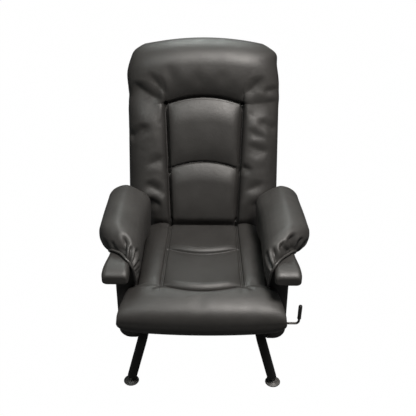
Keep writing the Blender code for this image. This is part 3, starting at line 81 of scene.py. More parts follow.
EAR_START_HALF, EAR_HALF = 0.2355, 0.266
SEAM_DEPTH = 0.006
SIDE_BULGE = 0.003
FOOT_X, RAIL_X = 0.2435, 0.187
BALL_Z, RAIL_Z = 0.0095, 0.228
BALL_RADIUS = 0.006
LEG_ENDS = {"front": (-0.3331, -0.3355), "rear": (0.2435, 0.1885)}
LEG_START = 0.0138
TUBE_RADIUS = 0.016
TUBE_BEND = 0.055
LEVER_CORNERS = np.array([(-0.008, -0.2632, 0.2025), (0.3265, -0.2632, 0.2025), (0.328, -0.2632, 0.2745)])
LEVER_BEND = 0.012
LEVER_RADIUS = 0.004
GRIP_LENGTH = 0.052
SMALL_GAP = 0.0003

# Sizes fitted to the photograph
BACK_CREST = 0.545
BACK_TOP_DEPTH = -0.056
ROLL_RISE = 0.044
SEAT_MID_SEAM = -0.084
SEAT_FRONT_SEAM = -0.306
SEAT_NOSE = -0.4225
ROLL_BOTTOM = 0.2570
SEAT_LIP = 0.027
SEAM_STRIP = 0.0052
CREASE_ROUND = 0.005

# Degrees of the quarter turn that closes a cushion's end, just short of a point
CLOSING_TURN = 88.5
X_AXIS, Y_AXIS, Z_AXIS = np.eye(3)


# Number helpers


def mix(first, last, share):
    """The value a share of the way from the first to the last."""
    return first + (last - first) * share


def held(value):
    """The value held between 0 and 1."""
    return np.clip(value, 0.0, 1.0)


def ease(share):
    """A smooth step from 0 to 1."""
    share = held(share)
    return share * share * (3.0 - 2.0 * share)


def hump(distance, width):
    """A bell curve of the distance: 1 at 0, and near 0 past two widths."""
    return np.exp(-((distance / width) ** 2))


def dome(share, power, root=0.5):
    """A rounded section from 1 at a share of 0 to nothing at 1: a root of 1 minus a power of the share."""
    return held(1.0 - share**power) ** root


def both_ends(count):
    """Shares from 0 to 1 that crowd together at both ends: half of 1 minus the cosine."""
    return (1.0 - np.cos(np.linspace(0.0, math.pi, count))) / 2.0


def unit(vectors):
    """Each vector over its own length."""
    return vectors / np.maximum(np.linalg.norm(vectors, axis=-1, keepdims=True), 1e-12)


def normals_of(grid):
    """Unit normals of a grid of points: the cross product of its steps along a row and down a column."""
    return unit(np.cross(np.gradient(grid, axis=1), np.gradient(grid, axis=0)))


def beside(x, y, path):
    """Distance to a path in the (x, y) of the cloth, the share of its length there, and a value for the side.

    That value is above 0 on the path's upper side.
    """
    points = np.array(path, float)
    runs = np.diff(points, axis=0)
    lengths = np.linalg.norm(runs, axis=1)
    nearest, along, above = np.full(np.shape(x), 1e3), 0.0, 0.0
    for point, run, length, before in zip(points, runs, lengths, np.cumsum(lengths) - lengths):
        share = held(((x - point[0]) * run[0] + (y - point[1]) * run[1]) / length**2)
        gap = np.hypot(x - point[0] - share * run[0], y - point[1] - share * run[1])
        side = ((y - point[1]) * run[0] - (x - point[0]) * run[1]) * np.sign(run[0])
        along = np.where(gap < nearest, before + share * length, along)
        above = np.where(gap < nearest, side, above)
        nearest = np.minimum(gap, nearest)
    return nearest, along / lengths.sum(), above


def faded(share, start, end):
    """A fade along a path: in over the start share of its length, and out over the end share."""
    return ease(share / start) * ease((1.0 - share) / end)


def fold(x, y, path, width, depth, ridge=0.35, start=0.15, end=0.4):
    """Rise of one fold: a bell-shaped trough along a path, with a soft ridge two widths away at each side."""
    gap, share, _ = beside(x, y, path)
    rise = ridge * hump(gap - 2.1 * width, 1.1 * width) - hump(gap, width)
    return faded(share, start, end) * depth * rise


def pucker(x, y, path, width, depth, rim):
    """Rise of one pucker: a bell-shaped pit along a path, with a rim round it two widths away."""
    gap = beside(x, y, path)[0]
    return rim * hump(gap - 2.0 * width, 0.8 * width) - depth * hump(gap, width)


def crease(x, y, path, under, below, depth, start, end):
    """Rise of one crease along a path: the side above it rolls under, the side below lies flat.

    Above the path the cloth falls over the under width, and below it climbs out over the below width, each by
    a power of the share left, rounded off near the path, and then puffs up a little as a bell curve.
    """
    gap, share, above = beside(x, y, path)
    fade = faded(share, start, end)
    gap = np.hypot(gap, CREASE_ROUND) - CREASE_ROUND
    up = held(gap / (under * (0.35 + 0.65 * fade)))
    down = held(gap / below)
    puff = 0.06 * (above <= 0.0) * hump(gap - 0.75 * below, 0.40 * below) * ease(gap / (0.5 * below))
    return fade * depth * (puff - np.where(above > 0.0, (1.0 - up) ** 1.7, (1.0 - down) ** 1.8))


# Mesh makers


def put(name, points, faces):
    """An object from points and faces, smooth shaded, its faces turned outwards by the sign of its volume."""
    faces = [np.asarray(part) for part in faces if len(part)]
    fans = np.concatenate([part[:, [0, i, i + 1]] for part in faces for i in range(1, part.shape[1] - 1)])
    corners = points[fans] - points.mean(axis=0)
    volume = np.einsum("ij,ij->i", corners[:, 0], np.cross(corners[:, 1], corners[:, 2])).sum()
    turned_faces = [part if volume > 0.0 else part[:, ::-1] for part in faces]
    mesh = bpy.data.meshes.new(name)
    mesh.from_pydata(points.tolist(), [], [face for part in turned_faces for face in part.tolist()])
    mesh.update()
    mesh.shade_smooth()
    obj = bpy.data.objects.new(name, mesh)
    bpy.context.scene.collection.objects.link(obj)
    return obj


def grid_faces(rows, columns, wrap):
    """The four-cornered faces of a grid of points, row by row, joined round if its columns wrap."""
    across = np.arange(columns if wrap else columns - 1)
    near = (np.arange(rows - 1)[:, None] * columns + across).ravel()
    next_over = (np.arange(rows - 1)[:, None] * columns + (across + 1) % columns).ravel()
    return np.stack([near, next_over, next_over + columns, near + columns], axis=1)


def two_skins(name, front, rear):
    """A closed cushion from two grids that share their first and last columns, each end closed by a strip."""
    rows, columns = front.shape[:2]
    ring = np.concatenate([front, rear[:, -2:0:-1]], axis=1)
    around = ring.shape[1]
    faces = [grid_faces(rows, around, True)]
    ahead = np.arange(columns)
    behind = np.where((ahead == 0) | (ahead == columns - 1), ahead, around - ahead)
    for row, turn in ((0, 1), (rows - 1, -1)):
        strip = row * around + np.stack([ahead[:-1], behind[:-1], behind[1:], ahead[1:]], axis=1)
        faces.append(strip[1:-1, ::turn])
        faces.append(strip[:1, [0, 2, 3]][:, ::turn])
        faces.append(strip[-1:, [0, 1, 2]][:, ::turn])
    return put(name, ring.reshape(-1, 3), faces)


def rings(name, ring_points):
    """A closed solid through rows of ring points, each end drawn in to the middle of its last ring."""
    rows, around = ring_points.shape[:2]
    ends = np.stack([ring_points[0].mean(axis=0), ring_points[-1].mean(axis=0)])
    points = np.concatenate([ring_points.reshape(-1, 3), ends])
    step = np.arange(around)
    after = (step + 1) % around
    top = (rows - 1) * around
    first = np.stack([after, step, np.full(around, rows * around)], axis=1)
    last = np.stack([top + step, top + after, np.full(around, rows * around + 1)], axis=1)
    return put(name, points, [grid_faces(rows, around, True), first, last])


def pipe(name, path, radius, sides, across):
    """A round bar along a path of points: circles square to its tangent, begun from the across direction."""
    tangent = unit(np.gradient(path, axis=0))
    first = unit(across - tangent * (tangent @ across)[:, None])
    second = np.cross(tangent, first)
    turn = np.linspace(0.0, 2.0 * math.pi, sides, endpoint=False)[None, :, None]
    radius = np.broadcast_to(radius, len(path))[:, None, None]
    circles = np.cos(turn) * first[:, None] + np.sin(turn) * second[:, None]
    return rings(name, path[:, None] + radius * circles)


def turned(name, profile, base, axis, sides):
    """A turned piece: (radius, height) points of a profile carried round an axis from its base."""
    axis = unit(axis)
    first = unit(np.cross(axis, [0.31, 0.95, 0.05]))
    second = np.cross(axis, first)
    turn = np.linspace(0.0, 2.0 * math.pi, sides, endpoint=False)
    spokes = np.cos(turn)[:, None] * first + np.sin(turn)[:, None] * second
    radius, height = np.asarray(profile, float).T[..., None, None]
    return rings(name, base + height * axis + radius * spokes)


def rounded_corners(points, radius, steps):
    """A path through corner points, each inner corner turned into an arc that touches both its runs."""
    points = np.asarray(points, float)
    path = [points[:1]]
    for before, corner, after in zip(points, points[1:], points[2:]):
        inward = unit(before - corner)
        outward = unit(after - corner)
        half = math.acos(float(inward @ outward)) / 2.0
        middle = corner + unit(inward + outward) * radius / math.sin(half)
        start = corner + inward * radius / math.tan(half) - middle
        toward = unit(corner - middle) * radius
        swing = math.acos(float(unit(start) @ unit(toward)))
        side = unit(toward - start * float(start @ toward) / radius**2) * radius
        turn = np.linspace(0.0, 2.0 * swing, steps)[:, None]
        path.append(middle + np.cos(turn) * start + np.sin(turn) * side)
    path.append(points[-1:])
    return np.concatenate(path)


def dense(path, step):
    """The same path with points a step apart along it, by linear interpolation of its length."""
    length = np.concatenate([[0.0], np.cumsum(np.linalg.norm(np.diff(path, axis=0), axis=1))])
    places = np.linspace(0.0, length[-1], max(3, int(length[-1] / step)))
    return np.stack([np.interp(places, length, path[:, axis]) for axis in range(path.shape[1])], axis=1)


def fit(obj, body, surface, slot, *nodes):
    """Give a piece its finish, the body it moves with and the plain nodes that it stands for."""
    obj.data.materials.append(surface)
    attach(obj, body)
    if nodes:
        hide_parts(*nodes)
    return obj


def upholster(obj, body, surface, node):
    fit(obj, body, surface, "black_leathercloth", node)


# Finishes


class Nodes:
    """A node tree under construction, with short ways to add and join nodes."""

    def __init__(self, tree):
        self.tree = tree

    def feed(self, socket, value):
        """Join an output to a socket, or set the socket to a constant."""
        if isinstance(value, bpy.types.NodeSocket):
            self.tree.links.new(value, socket)
        else:
            socket.default_value = value

    def add(self, kind, **inputs):
        """A new node of a kind, its named inputs fed."""
        node = self.tree.nodes.new(kind)
        for key, value in inputs.items():
            self.feed(node.inputs[key.replace("_", " ")], value)
        return node

    def between(self, value, low, high, start=0.3, end=0.7):
        """A value remapped from its start and end to a low and a high."""
        limits = {"From_Min": start, "From_Max": end, "To_Min": low, "To_Max": high}
        return self.add("ShaderNodeMapRange", Value=value, **limits).outputs["Result"]

    def math(self, operation, first, second):
        node = self.add("ShaderNodeMath")
        node.operation = operation
        self.feed(node.inputs[0], first)
        self.feed(node.inputs[1], second)
        return node.outputs["Value"]

    def blend(self, share, first, last):
        """Two shaders blended by a share."""
        node = self.add("ShaderNodeMixShader", Fac=share)
        self.feed(node.inputs[1], first)
        self.feed(node.inputs[2], last)
        return node.outputs["Shader"]

    def seen(self):
        """How far a ray sees the white backdrop: fully from the camera or through glass, 5 % in a gloss."""
        rays = self.add("ShaderNodeLightPath").outputs
        gloss = self.math("MULTIPLY", rays["Is Glossy Ray"], 0.05)
        direct = self.math("MAXIMUM", rays["Is Camera Ray"], rays["Is Transmission Ray"])
        return self.math("MAXIMUM", direct, gloss)


class Finish(Nodes):
    """A finish under construction: a material, its shader and patterns in the piece's own coordinates."""

    def __init__(self, name, rough, metal=0.0, gloss=0.5):
        self.material = bpy.data.materials.new(name)
        self.material.use_nodes = True
        super().__init__(self.material.node_tree)
        self.shader = self.tree.nodes["Principled BSDF"]
        self.shader.inputs["Roughness"].default_value = rough
        self.shader.inputs["Metallic"].default_value = metal
        self.shader.inputs["Specular IOR Level"].default_value = gloss
        self.place = self.add("ShaderNodeTexCoord").outputs["Object"]

    def stretched(self, scale):
        """Object coordinates scaled unevenly, for a pattern with a direction."""
        return self.add("ShaderNodeMapping", Vector=self.place, Scale=scale).outputs["Vector"]

    def noise(self, scale, detail=2.0, roughness=0.5, distortion=0.0, place=None):
        kinds = {"Scale": scale, "Detail": detail, "Roughness": roughness, "Distortion": distortion}
        return self.add("ShaderNodeTexNoise", Vector=place or self.place, **kinds).outputs["Fac"]

    def cells(self, scale, randomness):
        node = self.add("ShaderNodeTexVoronoi", Vector=self.place, Scale=scale, Randomness=randomness)
        return node.outputs["Distance"]

    def colour(self, value, *stops):
        """The colour along a value: each stop is a place and a linear colour."""
        node = self.add("ShaderNodeValToRGB", Fac=value)
        ramp = node.color_ramp
        for index, (spot, colour) in enumerate(stops):
            element = ramp.elements[index] if index < 2 else ramp.elements.new(spot)
            element.position = spot
            element.color = (*colour, 1.0)
        self.feed(self.shader.inputs["Base Color"], node.outputs["Color"])

    def roughness(self, value, low, high, *limits):
        """The roughness along a value, from a low to a high."""
        self.feed(self.shader.inputs["Roughness"], self.between(value, low, high, *limits))

    def bumps(self, *layers):
        """Bump layers in turn, each a height, its strength and its depth in metres."""
        below = {}
        for height, strength, depth in layers:
            node = self.add("ShaderNodeBump", Height=height, Strength=strength, Distance=depth, **below)
            below = {"Normal": node.outputs["Normal"]}
        self.feed(self.shader.inputs["Normal"], below["Normal"])


def leathercloth(name, dark, light, low_rough, high_rough):
    """Satin black coated cloth: pebbles of about 1.3 mm, finer pores, soft creases and a patchy polish."""
    look = Finish("black_leathercloth_" + name, 0.5)
    look.colour(look.noise(11.0, 4.0, 0.6), (0.3, dark), (0.72, light))
    look.roughness(look.noise(23.0, 3.0), low_rough, high_rough)
    pebbles = look.cells(760.0, 0.9)
    pores = look.noise(2100.0, 2.0)
    grain = look.math("ADD", pebbles, look.math("MULTIPLY", pores, 0.35))
    creases = look.noise(62.0, 3.0, 0.55, 0.9)
    look.bumps((creases, 0.10, 0.004), (grain, 0.22, 0.0006))
    return look.material


def coated(name, rough, gloss, dark, light, clouds, polish, skin):
    """A coat or a moulding, clouded in tone, patchy in gloss and with a fine skin.

    Polish is a noise's scale and detail and the roughness from low to high, and skin is a noise's scale and
    detail and the strength and depth of the bump.
    """
    look = Finish(name, rough, gloss=gloss)
    look.colour(look.noise(clouds, 3.0), (0.3, dark), (0.7, light))
    look.roughness(look.noise(*polish[:2]), *polish[2:])
    look.bumps((look.noise(*skin[:2]), *skin[2:]))
    return look.material


def metal(name, dark, light, low_rough, high_rough, scale, stretch=(1.0, 1.0, 1.0)):
    """Bare or plated metal: clouded colour and a gloss that varies along the direction of its finish."""
    look = Finish(name, 0.3, 1.0)
    place = look.stretched(stretch)
    look.colour(look.noise(scale, 4.0, 0.6, 0.3, place), (0.3, dark), (0.7, light))
    look.roughness(look.noise(scale * 3.0, 3.0, 0.6, 0.0, place), low_rough, high_rough)
    look.bumps((look.noise(scale * 9.0, 2.0, 0.5, 0.0, place), 0.08, 0.0002))
    return look.material


def pale_wood():
    """Plain sawn softwood: long growth lines along the rail, darker late wood and fine pores."""
    look = Finish("pale_frame_wood", 0.65, gloss=0.35)
    place = look.stretched((26.0, 3.0, 26.0))
    lines = look.noise(2.2, 5.0, 0.62, 1.6, place)
    look.colour(lines, (0.25, (0.36, 0.22, 0.11)), (0.5, (0.56, 0.39, 0.22)), (0.75, (0.66, 0.50, 0.31)))
    look.roughness(lines, 0.55, 0.75)
    look.bumps((look.noise(40.0, 3.0, 0.6, 0.0, place), 0.2, 0.0006))
    return look.material


def woven(name, dark, light, scale):
    """Elastic webbing: warp and weft threads as two crossed waves, and a slight fade."""
    look = Finish(name, 0.85, gloss=0.3)
    threads = []
    for direction in ("X", "Z"):
        wave = look.add("ShaderNodeTexWave", Vector=look.place, Scale=scale, Distortion=0.4, Detail=1.0)
        wave.bands_direction = direction
        threads.append(wave.outputs["Fac"])
    weave = look.math("MULTIPLY", *threads)
    fade = look.math("MULTIPLY", look.noise(35.0), 0.4)
    look.colour(look.math("ADD", look.math("MULTIPLY", weave, 0.6), fade), (0.1, dark), (0.8, light))
    look.roughness(weave, 0.75, 0.95, 0.0, 1.0)
    look.bumps((weave, 0.5, 0.0008))
    return look.material


def dust_cloth():
    """Thin black spun cloth: matted fibres with tiny bonded points."""
    look = Finish("black_spun_cloth", 0.95, gloss=0.2)
    fibres = look.noise(420.0, 4.0, 0.7, 1.2)
    look.colour(fibres, (0.3, (0.010, 0.010, 0.011)), (0.75, (0.032, 0.032, 0.034)))
    look.roughness(fibres, 0.85, 1.0)
    look.bumps((look.cells(380.0, 0.2), 0.35, 0.0006), (fibres, 0.3, 0.0004))
    return look.material


LEATHER = leathercloth("panels", (0.0285, 0.0272, 0.0258), (0.0385, 0.0368, 0.0350), 0.44, 0.52)
# Pillow cover: a lighter base colour than the panels' leathercloth, which is painted light for the pillow
# tops that catch more light; its higher roughness is the cover's softer matte skin.
PILLOW_PAINTED_LIGHT = leathercloth("pillows", (0.0370, 0.0356, 0.0340), (0.0480, 0.0462, 0.0442), 0.48, 0.58)
# Hem cord: the same leathercloth with a lighter base colour, which is painted light so the cord reads as lit
# under the pillow noses.
PIPING_PAINTED_LIGHT = leathercloth("piping", (0.0420, 0.0405, 0.0388), (0.0560, 0.0540, 0.0518), 0.36, 0.44)
STEEL = coated(
    "black_powder_coat", 0.4, 0.4, (0.007, 0.007, 0.0073), (0.012, 0.0118, 0.0115),
    30.0, (90.0, 3.0, 0.40, 0.55), (900.0, 2.0, 0.12, 0.0005),
)
# Foot discs and lever bush: black plastic lifted to a dark grey, partly the discs' own moulded grey and
# partly painted light for their lit tops; the colour is two close greys clouded by noise.
PLASTIC = coated(
    "satin_plastic_grey_part_painted_light", 0.4, 0.5, (0.076, 0.075, 0.072), (0.095, 0.093, 0.090),
    60.0, (140.0, 3.0, 0.38, 0.50), (900.0, 1.0, 0.008, 0.0003),
)
RUBBER = coated(
    "black_rubber_sleeve", 0.6, 0.4, (0.016, 0.016, 0.016), (0.030, 0.029, 0.028),
    70.0, (200.0, 2.0, 0.45, 0.62), (1600.0, 2.0, 0.2, 0.0003),
)
NICKEL = metal("bright_nickel_plate", (0.62, 0.61, 0.59), (0.76, 0.75, 0.72), 0.14, 0.28, 60.0)
ZINC = metal("clouded_zinc_plate", (0.40, 0.40, 0.41), (0.56, 0.56, 0.55), 0.32, 0.5, 45.0)
GROUND = metal(
    "ground_grey_steel", (0.080, 0.078, 0.075), (0.112, 0.109, 0.105), 0.42, 0.52, 30.0, (1.0, 3.0, 3.0)
)
WOOD = pale_wood()
WEBBING = woven("elastic_black_webbing", (0.016, 0.016, 0.017), (0.070, 0.068, 0.066), 190.0)
DUST = dust_cloth()


# Sections of the sewn cushions

STRIP_SHARES = np.linspace(1.0, 0.0, 5)[1:]
STRIP_ROUND = 1.0 - (2.0 * STRIP_SHARES - 1.0) ** 2


def whole_width(bolster, strip, panel, sign=1.0):
    """One array over a cushion's width: bolster and strip times the sign, panel, strip and bolster."""
    return np.concatenate([sign * bolster, sign * strip, panel, strip[:, ::-1], bolster[:, ::-1]], 1)


def sewn_columns(panel_half, half, bolster_count, panel_count):
    """Columns over a cushion's width, closer together at its edges and seams.

    Gives the even and the eased share over a bolster, the share over the panel, and the places across.
    """
    turn = np.linspace(1.0, 0.0, bolster_count)
    outward = (1.0 - np.cos(math.pi * turn)) / 2.0
    middle = -1.0 + 2.0 * (both_ends(panel_count) * 0.6 + np.linspace(0.0, 1.0, panel_count) * 0.4)[1:-1]
    bolster = mix(panel_half + SEAM_STRIP, half, outward)
    across = whole_width(bolster, panel_half + SEAM_STRIP * STRIP_SHARES, panel_half * middle, -1.0)
    return turn, outward, middle, across


def small_wrinkles(across, along, count, reach, span, depth):
    """Many short shallow folds at seeded places in two side bands, as stuffed leathercloth shows."""
    total = np.zeros(across.shape)
    for _ in range(count):
        x = chance.uniform(*reach) * chance.choice((-1.0, 1.0))
        y = chance.uniform(*span)
        heading = chance.uniform(-0.7, 0.7)
        length = chance.uniform(0.02, 0.05)
        path = ((x, y), (x + length * math.cos(heading), y + length * math.sin(heading)))
        width = chance.uniform(0.009, 0.015)
        total += fold(across, along, path, width, depth * chance.uniform(0.4, 1.0), 0.30, 0.5, 0.5)
    return total


# Back cushion


def back_place(across, height, forward):
    """Points of the back: across, up the leaning face from the crease, and in front of that face."""
    across, height, forward = np.broadcast_arrays(across, height, forward)
    points = CREASE + height[..., None] * BACK_UP - forward[..., None] * BACK_REAR
    points[..., 0] = across
    return points


def back_half(height):
    """Half the back's width: narrow between the arms, wide above, drawn in by a sixth power at the top."""
    wide = mix(BACK_NARROW, BACK_WIDE, ease((height - 0.064) / SHOULDER_RUN))
    top = np.maximum(0.0, (height - BACK_TOP_SEAM) / (BACK_TOP - BACK_TOP_SEAM))
    return wide - 0.085 * (top * BACK_TOP / BACK_SIDE_TOP) ** 6


BACK_CREASES = (
    # (path across and up the back, width rolled under, width lying flat, depth, start share, end share)
    (((-0.140, 0.438), (-0.190, 0.462), (-0.226, 0.486), (-0.254, 0.516)), 0.036, 0.084, 0.0160, 0.32, 0.30),
    (((-0.126, 0.462), (-0.158, 0.492), (-0.200, 0.550)), 0.030, 0.048, 0.0110, 0.42, 0.50),
    (((0.122, 0.456), (0.168, 0.486), (0.222, 0.536)), 0.034, 0.060, 0.0110, 0.44, 0.45),
    (((0.146, 0.430), (0.200, 0.436), (0.266, 0.442)), 0.034, 0.130, 0.0090, 0.36, 0.26),
    (((0.205, 0.474), (0.266, 0.489)), 0.020, 0.026, 0.0065, 0.40, 0.30),
    (((-0.190, 0.362), (-0.268, 0.311)), 0.024, 0.032, 0.0115, 0.40, 0.15),
    (((-0.216, 0.151), (-0.134, 0.106)), 0.030, 0.042, 0.0105, 0.30, 0.45),
    (((-0.206, 0.094), (-0.150, 0.052)), 0.026, 0.032, 0.0095, 0.30, 0.45),
    (((-0.214, 0.206), (-0.136, 0.248)), 0.028, 0.040, 0.0065, 0.50, 0.40),
    (((0.186, 0.380), (0.268, 0.340)), 0.026, 0.032, 0.0075, 0.45, 0.25),
    (((0.148, 0.346), (0.232, 0.307)), 0.026, 0.032, 0.0050, 0.40, 0.40),
    (((0.150, 0.291), (0.244, 0.255)), 0.030, 0.040, 0.0070, 0.40, 0.45),
    (((0.126, 0.205), (0.182, 0.199)), 0.022, 0.026, 0.0100, 0.30, 0.60),
    (((0.140, 0.114), (0.226, 0.156)), 0.030, 0.034, 0.0080, 0.45, 0.45),
)
BACK_FOLDS = (
    # (path across and up the back, width, depth) of the soft dents in the roll
    (((-0.132, 0.585), (-0.098, 0.478)), 0.019, 0.0034),
    (((-0.030, 0.560), (-0.012, 0.482)), 0.017, 0.0028),
    (((0.070, 0.560), (0.058, 0.495)), 0.017, 0.0016),
)


def back_spread(height):
    """How far the stuffing pushes the left and the right edge out past the pattern, up the back's height."""
    above_arms = ease((height - 0.050) / 0.060)
    left = 0.0085 + 0.0045 * hump(height - 0.540, 0.035) - 0.0020 * hump(height - 0.465, 0.016)
    left += 0.0050 * hump(height - 0.625, 0.018)
    right = 0.0025 - 0.0055 * ease((height - 0.500) / 0.080) + 0.0015 * hump(height - 0.455, 0.020)
    right += 0.0130 * hump(height - 0.615, 0.026)
    return left * above_arms, right * above_arms


def full_pad(share, peak, power_up, power_down):
    """A pad's swell along its height: 1 minus a power of the distance from its peak, one power each way."""
    above = held((share - peak) / (1.0 - peak))
    below = held((peak - share) / peak)
    return 1.0 - above**power_up - below**power_down


def back_cushion():
    """The back: heights over the leaning face as a function of the row up the back and the column across it.

    Below the top seam a section is two bolsters (a fall by the share cubed, and on it a shoulder by the root
    of 1 minus a power of a cosine), two seam strips and a centre pad that swells by 1 minus a power of the
    share along and across. Above it the section is one rounded crown over the width. Bell-shaped grooves
    follow the seams, creases run out from the panel's corners, and a quarter turn closes the top.
    """
    tail = mix(-BACK_TAIL, 0.0, np.linspace(0.0, 1.0, 12)[:-1])
    lower = mix(0.0, BACK_MID_SEAM, both_ends(58))[:-1]
    upper = mix(BACK_MID_SEAM, BACK_TOP_SEAM, both_ends(66))[:-1]
    under_roll = mix(BACK_TOP_SEAM, BACK_CREST, np.linspace(0.0, 1.0, 44) ** 1.25)
    over = np.radians(np.linspace(0.0, CLOSING_TURN, 60)[1:])
    turning = mix(BACK_CREST, BACK_SIDE_TOP, np.sin(over) ** 1.05)
    side = np.concatenate([tail, lower, upper, under_roll, turning])[:, None]
    keep = np.concatenate([np.ones(len(side) - len(over)), np.cos(over)])[:, None]

    past_seam = side - BACK_TOP_SEAM
    roll_run = BACK_CREST - BACK_TOP_SEAM
    up = held(past_seam / (BACK_SIDE_TOP - BACK_TOP_SEAM))
    half = back_half(side)
    panel_half = mix(PANEL_HALF_LOW, PANEL_HALF_TOP, held(side / BACK_TOP_SEAM))
    bow = np.where(up > 0.0, mix(BACK_BOW, BACK_ARCH, up), BACK_BOW * ease(side / BACK_MID_SEAM))
    fullness = np.where(up > 0.0, 1.0, ease(0.4 + side / BACK_MID_SEAM))
    shoulder = BACK_BOLSTER_RISE * fullness * ease((side + BACK_TAIL) / BACK_TAIL)
    over_panel = ROLL_RISE * (1.0 - (1.0 - held(past_seam / roll_run)) ** 2.6) * (up > 0.0)
    over_bolster = ROLL_RISE * ease((past_seam + 0.060) / (roll_run + 0.060))
    tail_in = 0.018 * (1.0 - ease((side + 0.030) / 0.050))
    front = mix(BACK_TOP_DEPTH, -tail_in, keep)
    edge = mix(BACK_TOP_DEPTH, -EDGE_DROP - tail_in / 2.0, keep**0.8)
    base = mix(BACK_TOP_DEPTH, mix(-BACK_DEPTH, -BACK_TAIL_DEPTH, ease(-side / BACK_TAIL) * 0.9), keep**0.5)

    low_share = held((side + 0.014) / (BACK_MID_SEAM + 0.014))
    high_share = held((side - BACK_MID_SEAM) / (BACK_TOP_SEAM - BACK_MID_SEAM))
    swell_low = 0.020 * full_pad(low_share, 0.70, 1.60, 3.0)
    swell_high = 0.024 * full_pad(high_share, 0.62, 1.9, 3.6)
    pad = np.where(side < BACK_MID_SEAM, swell_low, swell_high) * (up <= 0.0)

    turn, share, middle, across = sewn_columns(panel_half, half, 40, 61)
    start = panel_half + SEAM_STRIP
    sewn = (1.0 - ease(past_seam / 0.010)) * ease((side + BACK_TAIL) / 0.02)
    seam = front - SEAM_DEPTH * sewn
    rise_bolster = mix(front, edge, share**3) - SEAM_DEPTH * sewn * (1.0 - ease(share / 0.12))
    rise_bolster += shoulder * (1.0 - np.abs(np.cos(math.pi * turn)) ** 2.6) ** 0.5
    rise_bolster -= 0.009 * hump(side - 0.452, 0.062) * ease(share / 0.25) * (1.0 - share**4)
    rise_strip = seam - 0.0050 * sewn + 0.0025 * sewn * STRIP_ROUND
    forward = whole_width(rise_bolster, rise_strip, seam + pad * (1.0 - np.abs(middle) ** 11.0))

    out = np.abs(across)
    share_across = out / half
    crown = edge + (front - edge) * dome(share_across, 4.2)
    on_bolster = ease((out - panel_half) / 0.038)
    lead, run = mix(0.012, 0.076, on_bolster), mix(0.072, 0.190, on_bolster)
    forward = mix(forward, crown, ease((past_seam + lead) / run))
    bulge = mix(over_panel, over_bolster, on_bolster)
    forward += bulge * keep * dome(share_across, 4.2)
    over_width = dome(share_across, 2.0, 1.0)
    height = side + bow * mix(dome(across / panel_half, 2.0, 1.0), over_width, ease(up / 0.5))

    groove = -0.0048 * hump(out - panel_half, 0.0030) * sewn - 0.0046 * hump(out - start, 0.0030) * sewn
    on_panel = ease((panel_half - out) / 0.008)
    for line in (BACK_MID_SEAM, BACK_TOP_SEAM):
        groove -= SEAM_DEPTH * hump(side - line, 0.0028) * on_panel
    stitch_line = BACK_TOP_SEAM - 0.0075
    groove -= 0.0012 * hump(side - stitch_line, 0.0016) * on_panel
    groove -= 0.0045 * hump(side - BACK_MID_SEAM, 0.011) * hump(out - panel_half, 0.008)
    creases = sum(crease(across, height, *row) for row in BACK_CREASES)
    off_panel = np.maximum(ease((out - start) / 0.012), ease(past_seam / 0.014))
    relief = groove + creases * off_panel
    for path, width, depth in BACK_FOLDS:
        relief += fold(across, height, path, width, depth, 0.25, 0.5, 0.5)
    relief += small_wrinkles(across, height, 30, (0.15, 0.235), (0.05, 0.40), 0.0012)

    front_skin = back_place(across, height, forward)
    rear_rise = base + (edge - base) * (1.0 - dome(share_across, 9.0, 0.2))
    bulged = SIDE_BULGE * keep * np.sin(math.pi * held((rear_rise - base) / np.maximum(edge - base, 1e-6)))
    rear_height = side + bow * over_width * ease(up / 0.5)
    rear_skin = back_place(across + np.sign(across) * bulged, rear_height, rear_rise)
    front_skin = front_skin + normals_of(front_skin) * (relief * keep)[..., None]
    rear_skin[:, [0, -1]] = front_skin[:, [0, -1]]
    left, right = back_spread(side)
    for skin in (front_skin, rear_skin):
        outward = ease((np.abs(skin[..., 0]) - 0.150) / 0.110)
        skin[..., 0] += np.where(skin[..., 0] < 0.0, -left, right) * outward
    return two_skins("back_cushion_cover", front_skin, rear_skin)


# Seat cushion


SEAT_FOLDS = (
    # (path across and along the seat, width, depth)
    (((-0.132, -0.313), (-0.168, -0.338)), 0.008, 0.0030),
    (((0.132, -0.313), (0.168, -0.338)), 0.008, 0.0030),
    (((-0.004, -0.365), (-0.006, -0.428)), 0.016, 0.0010),
)


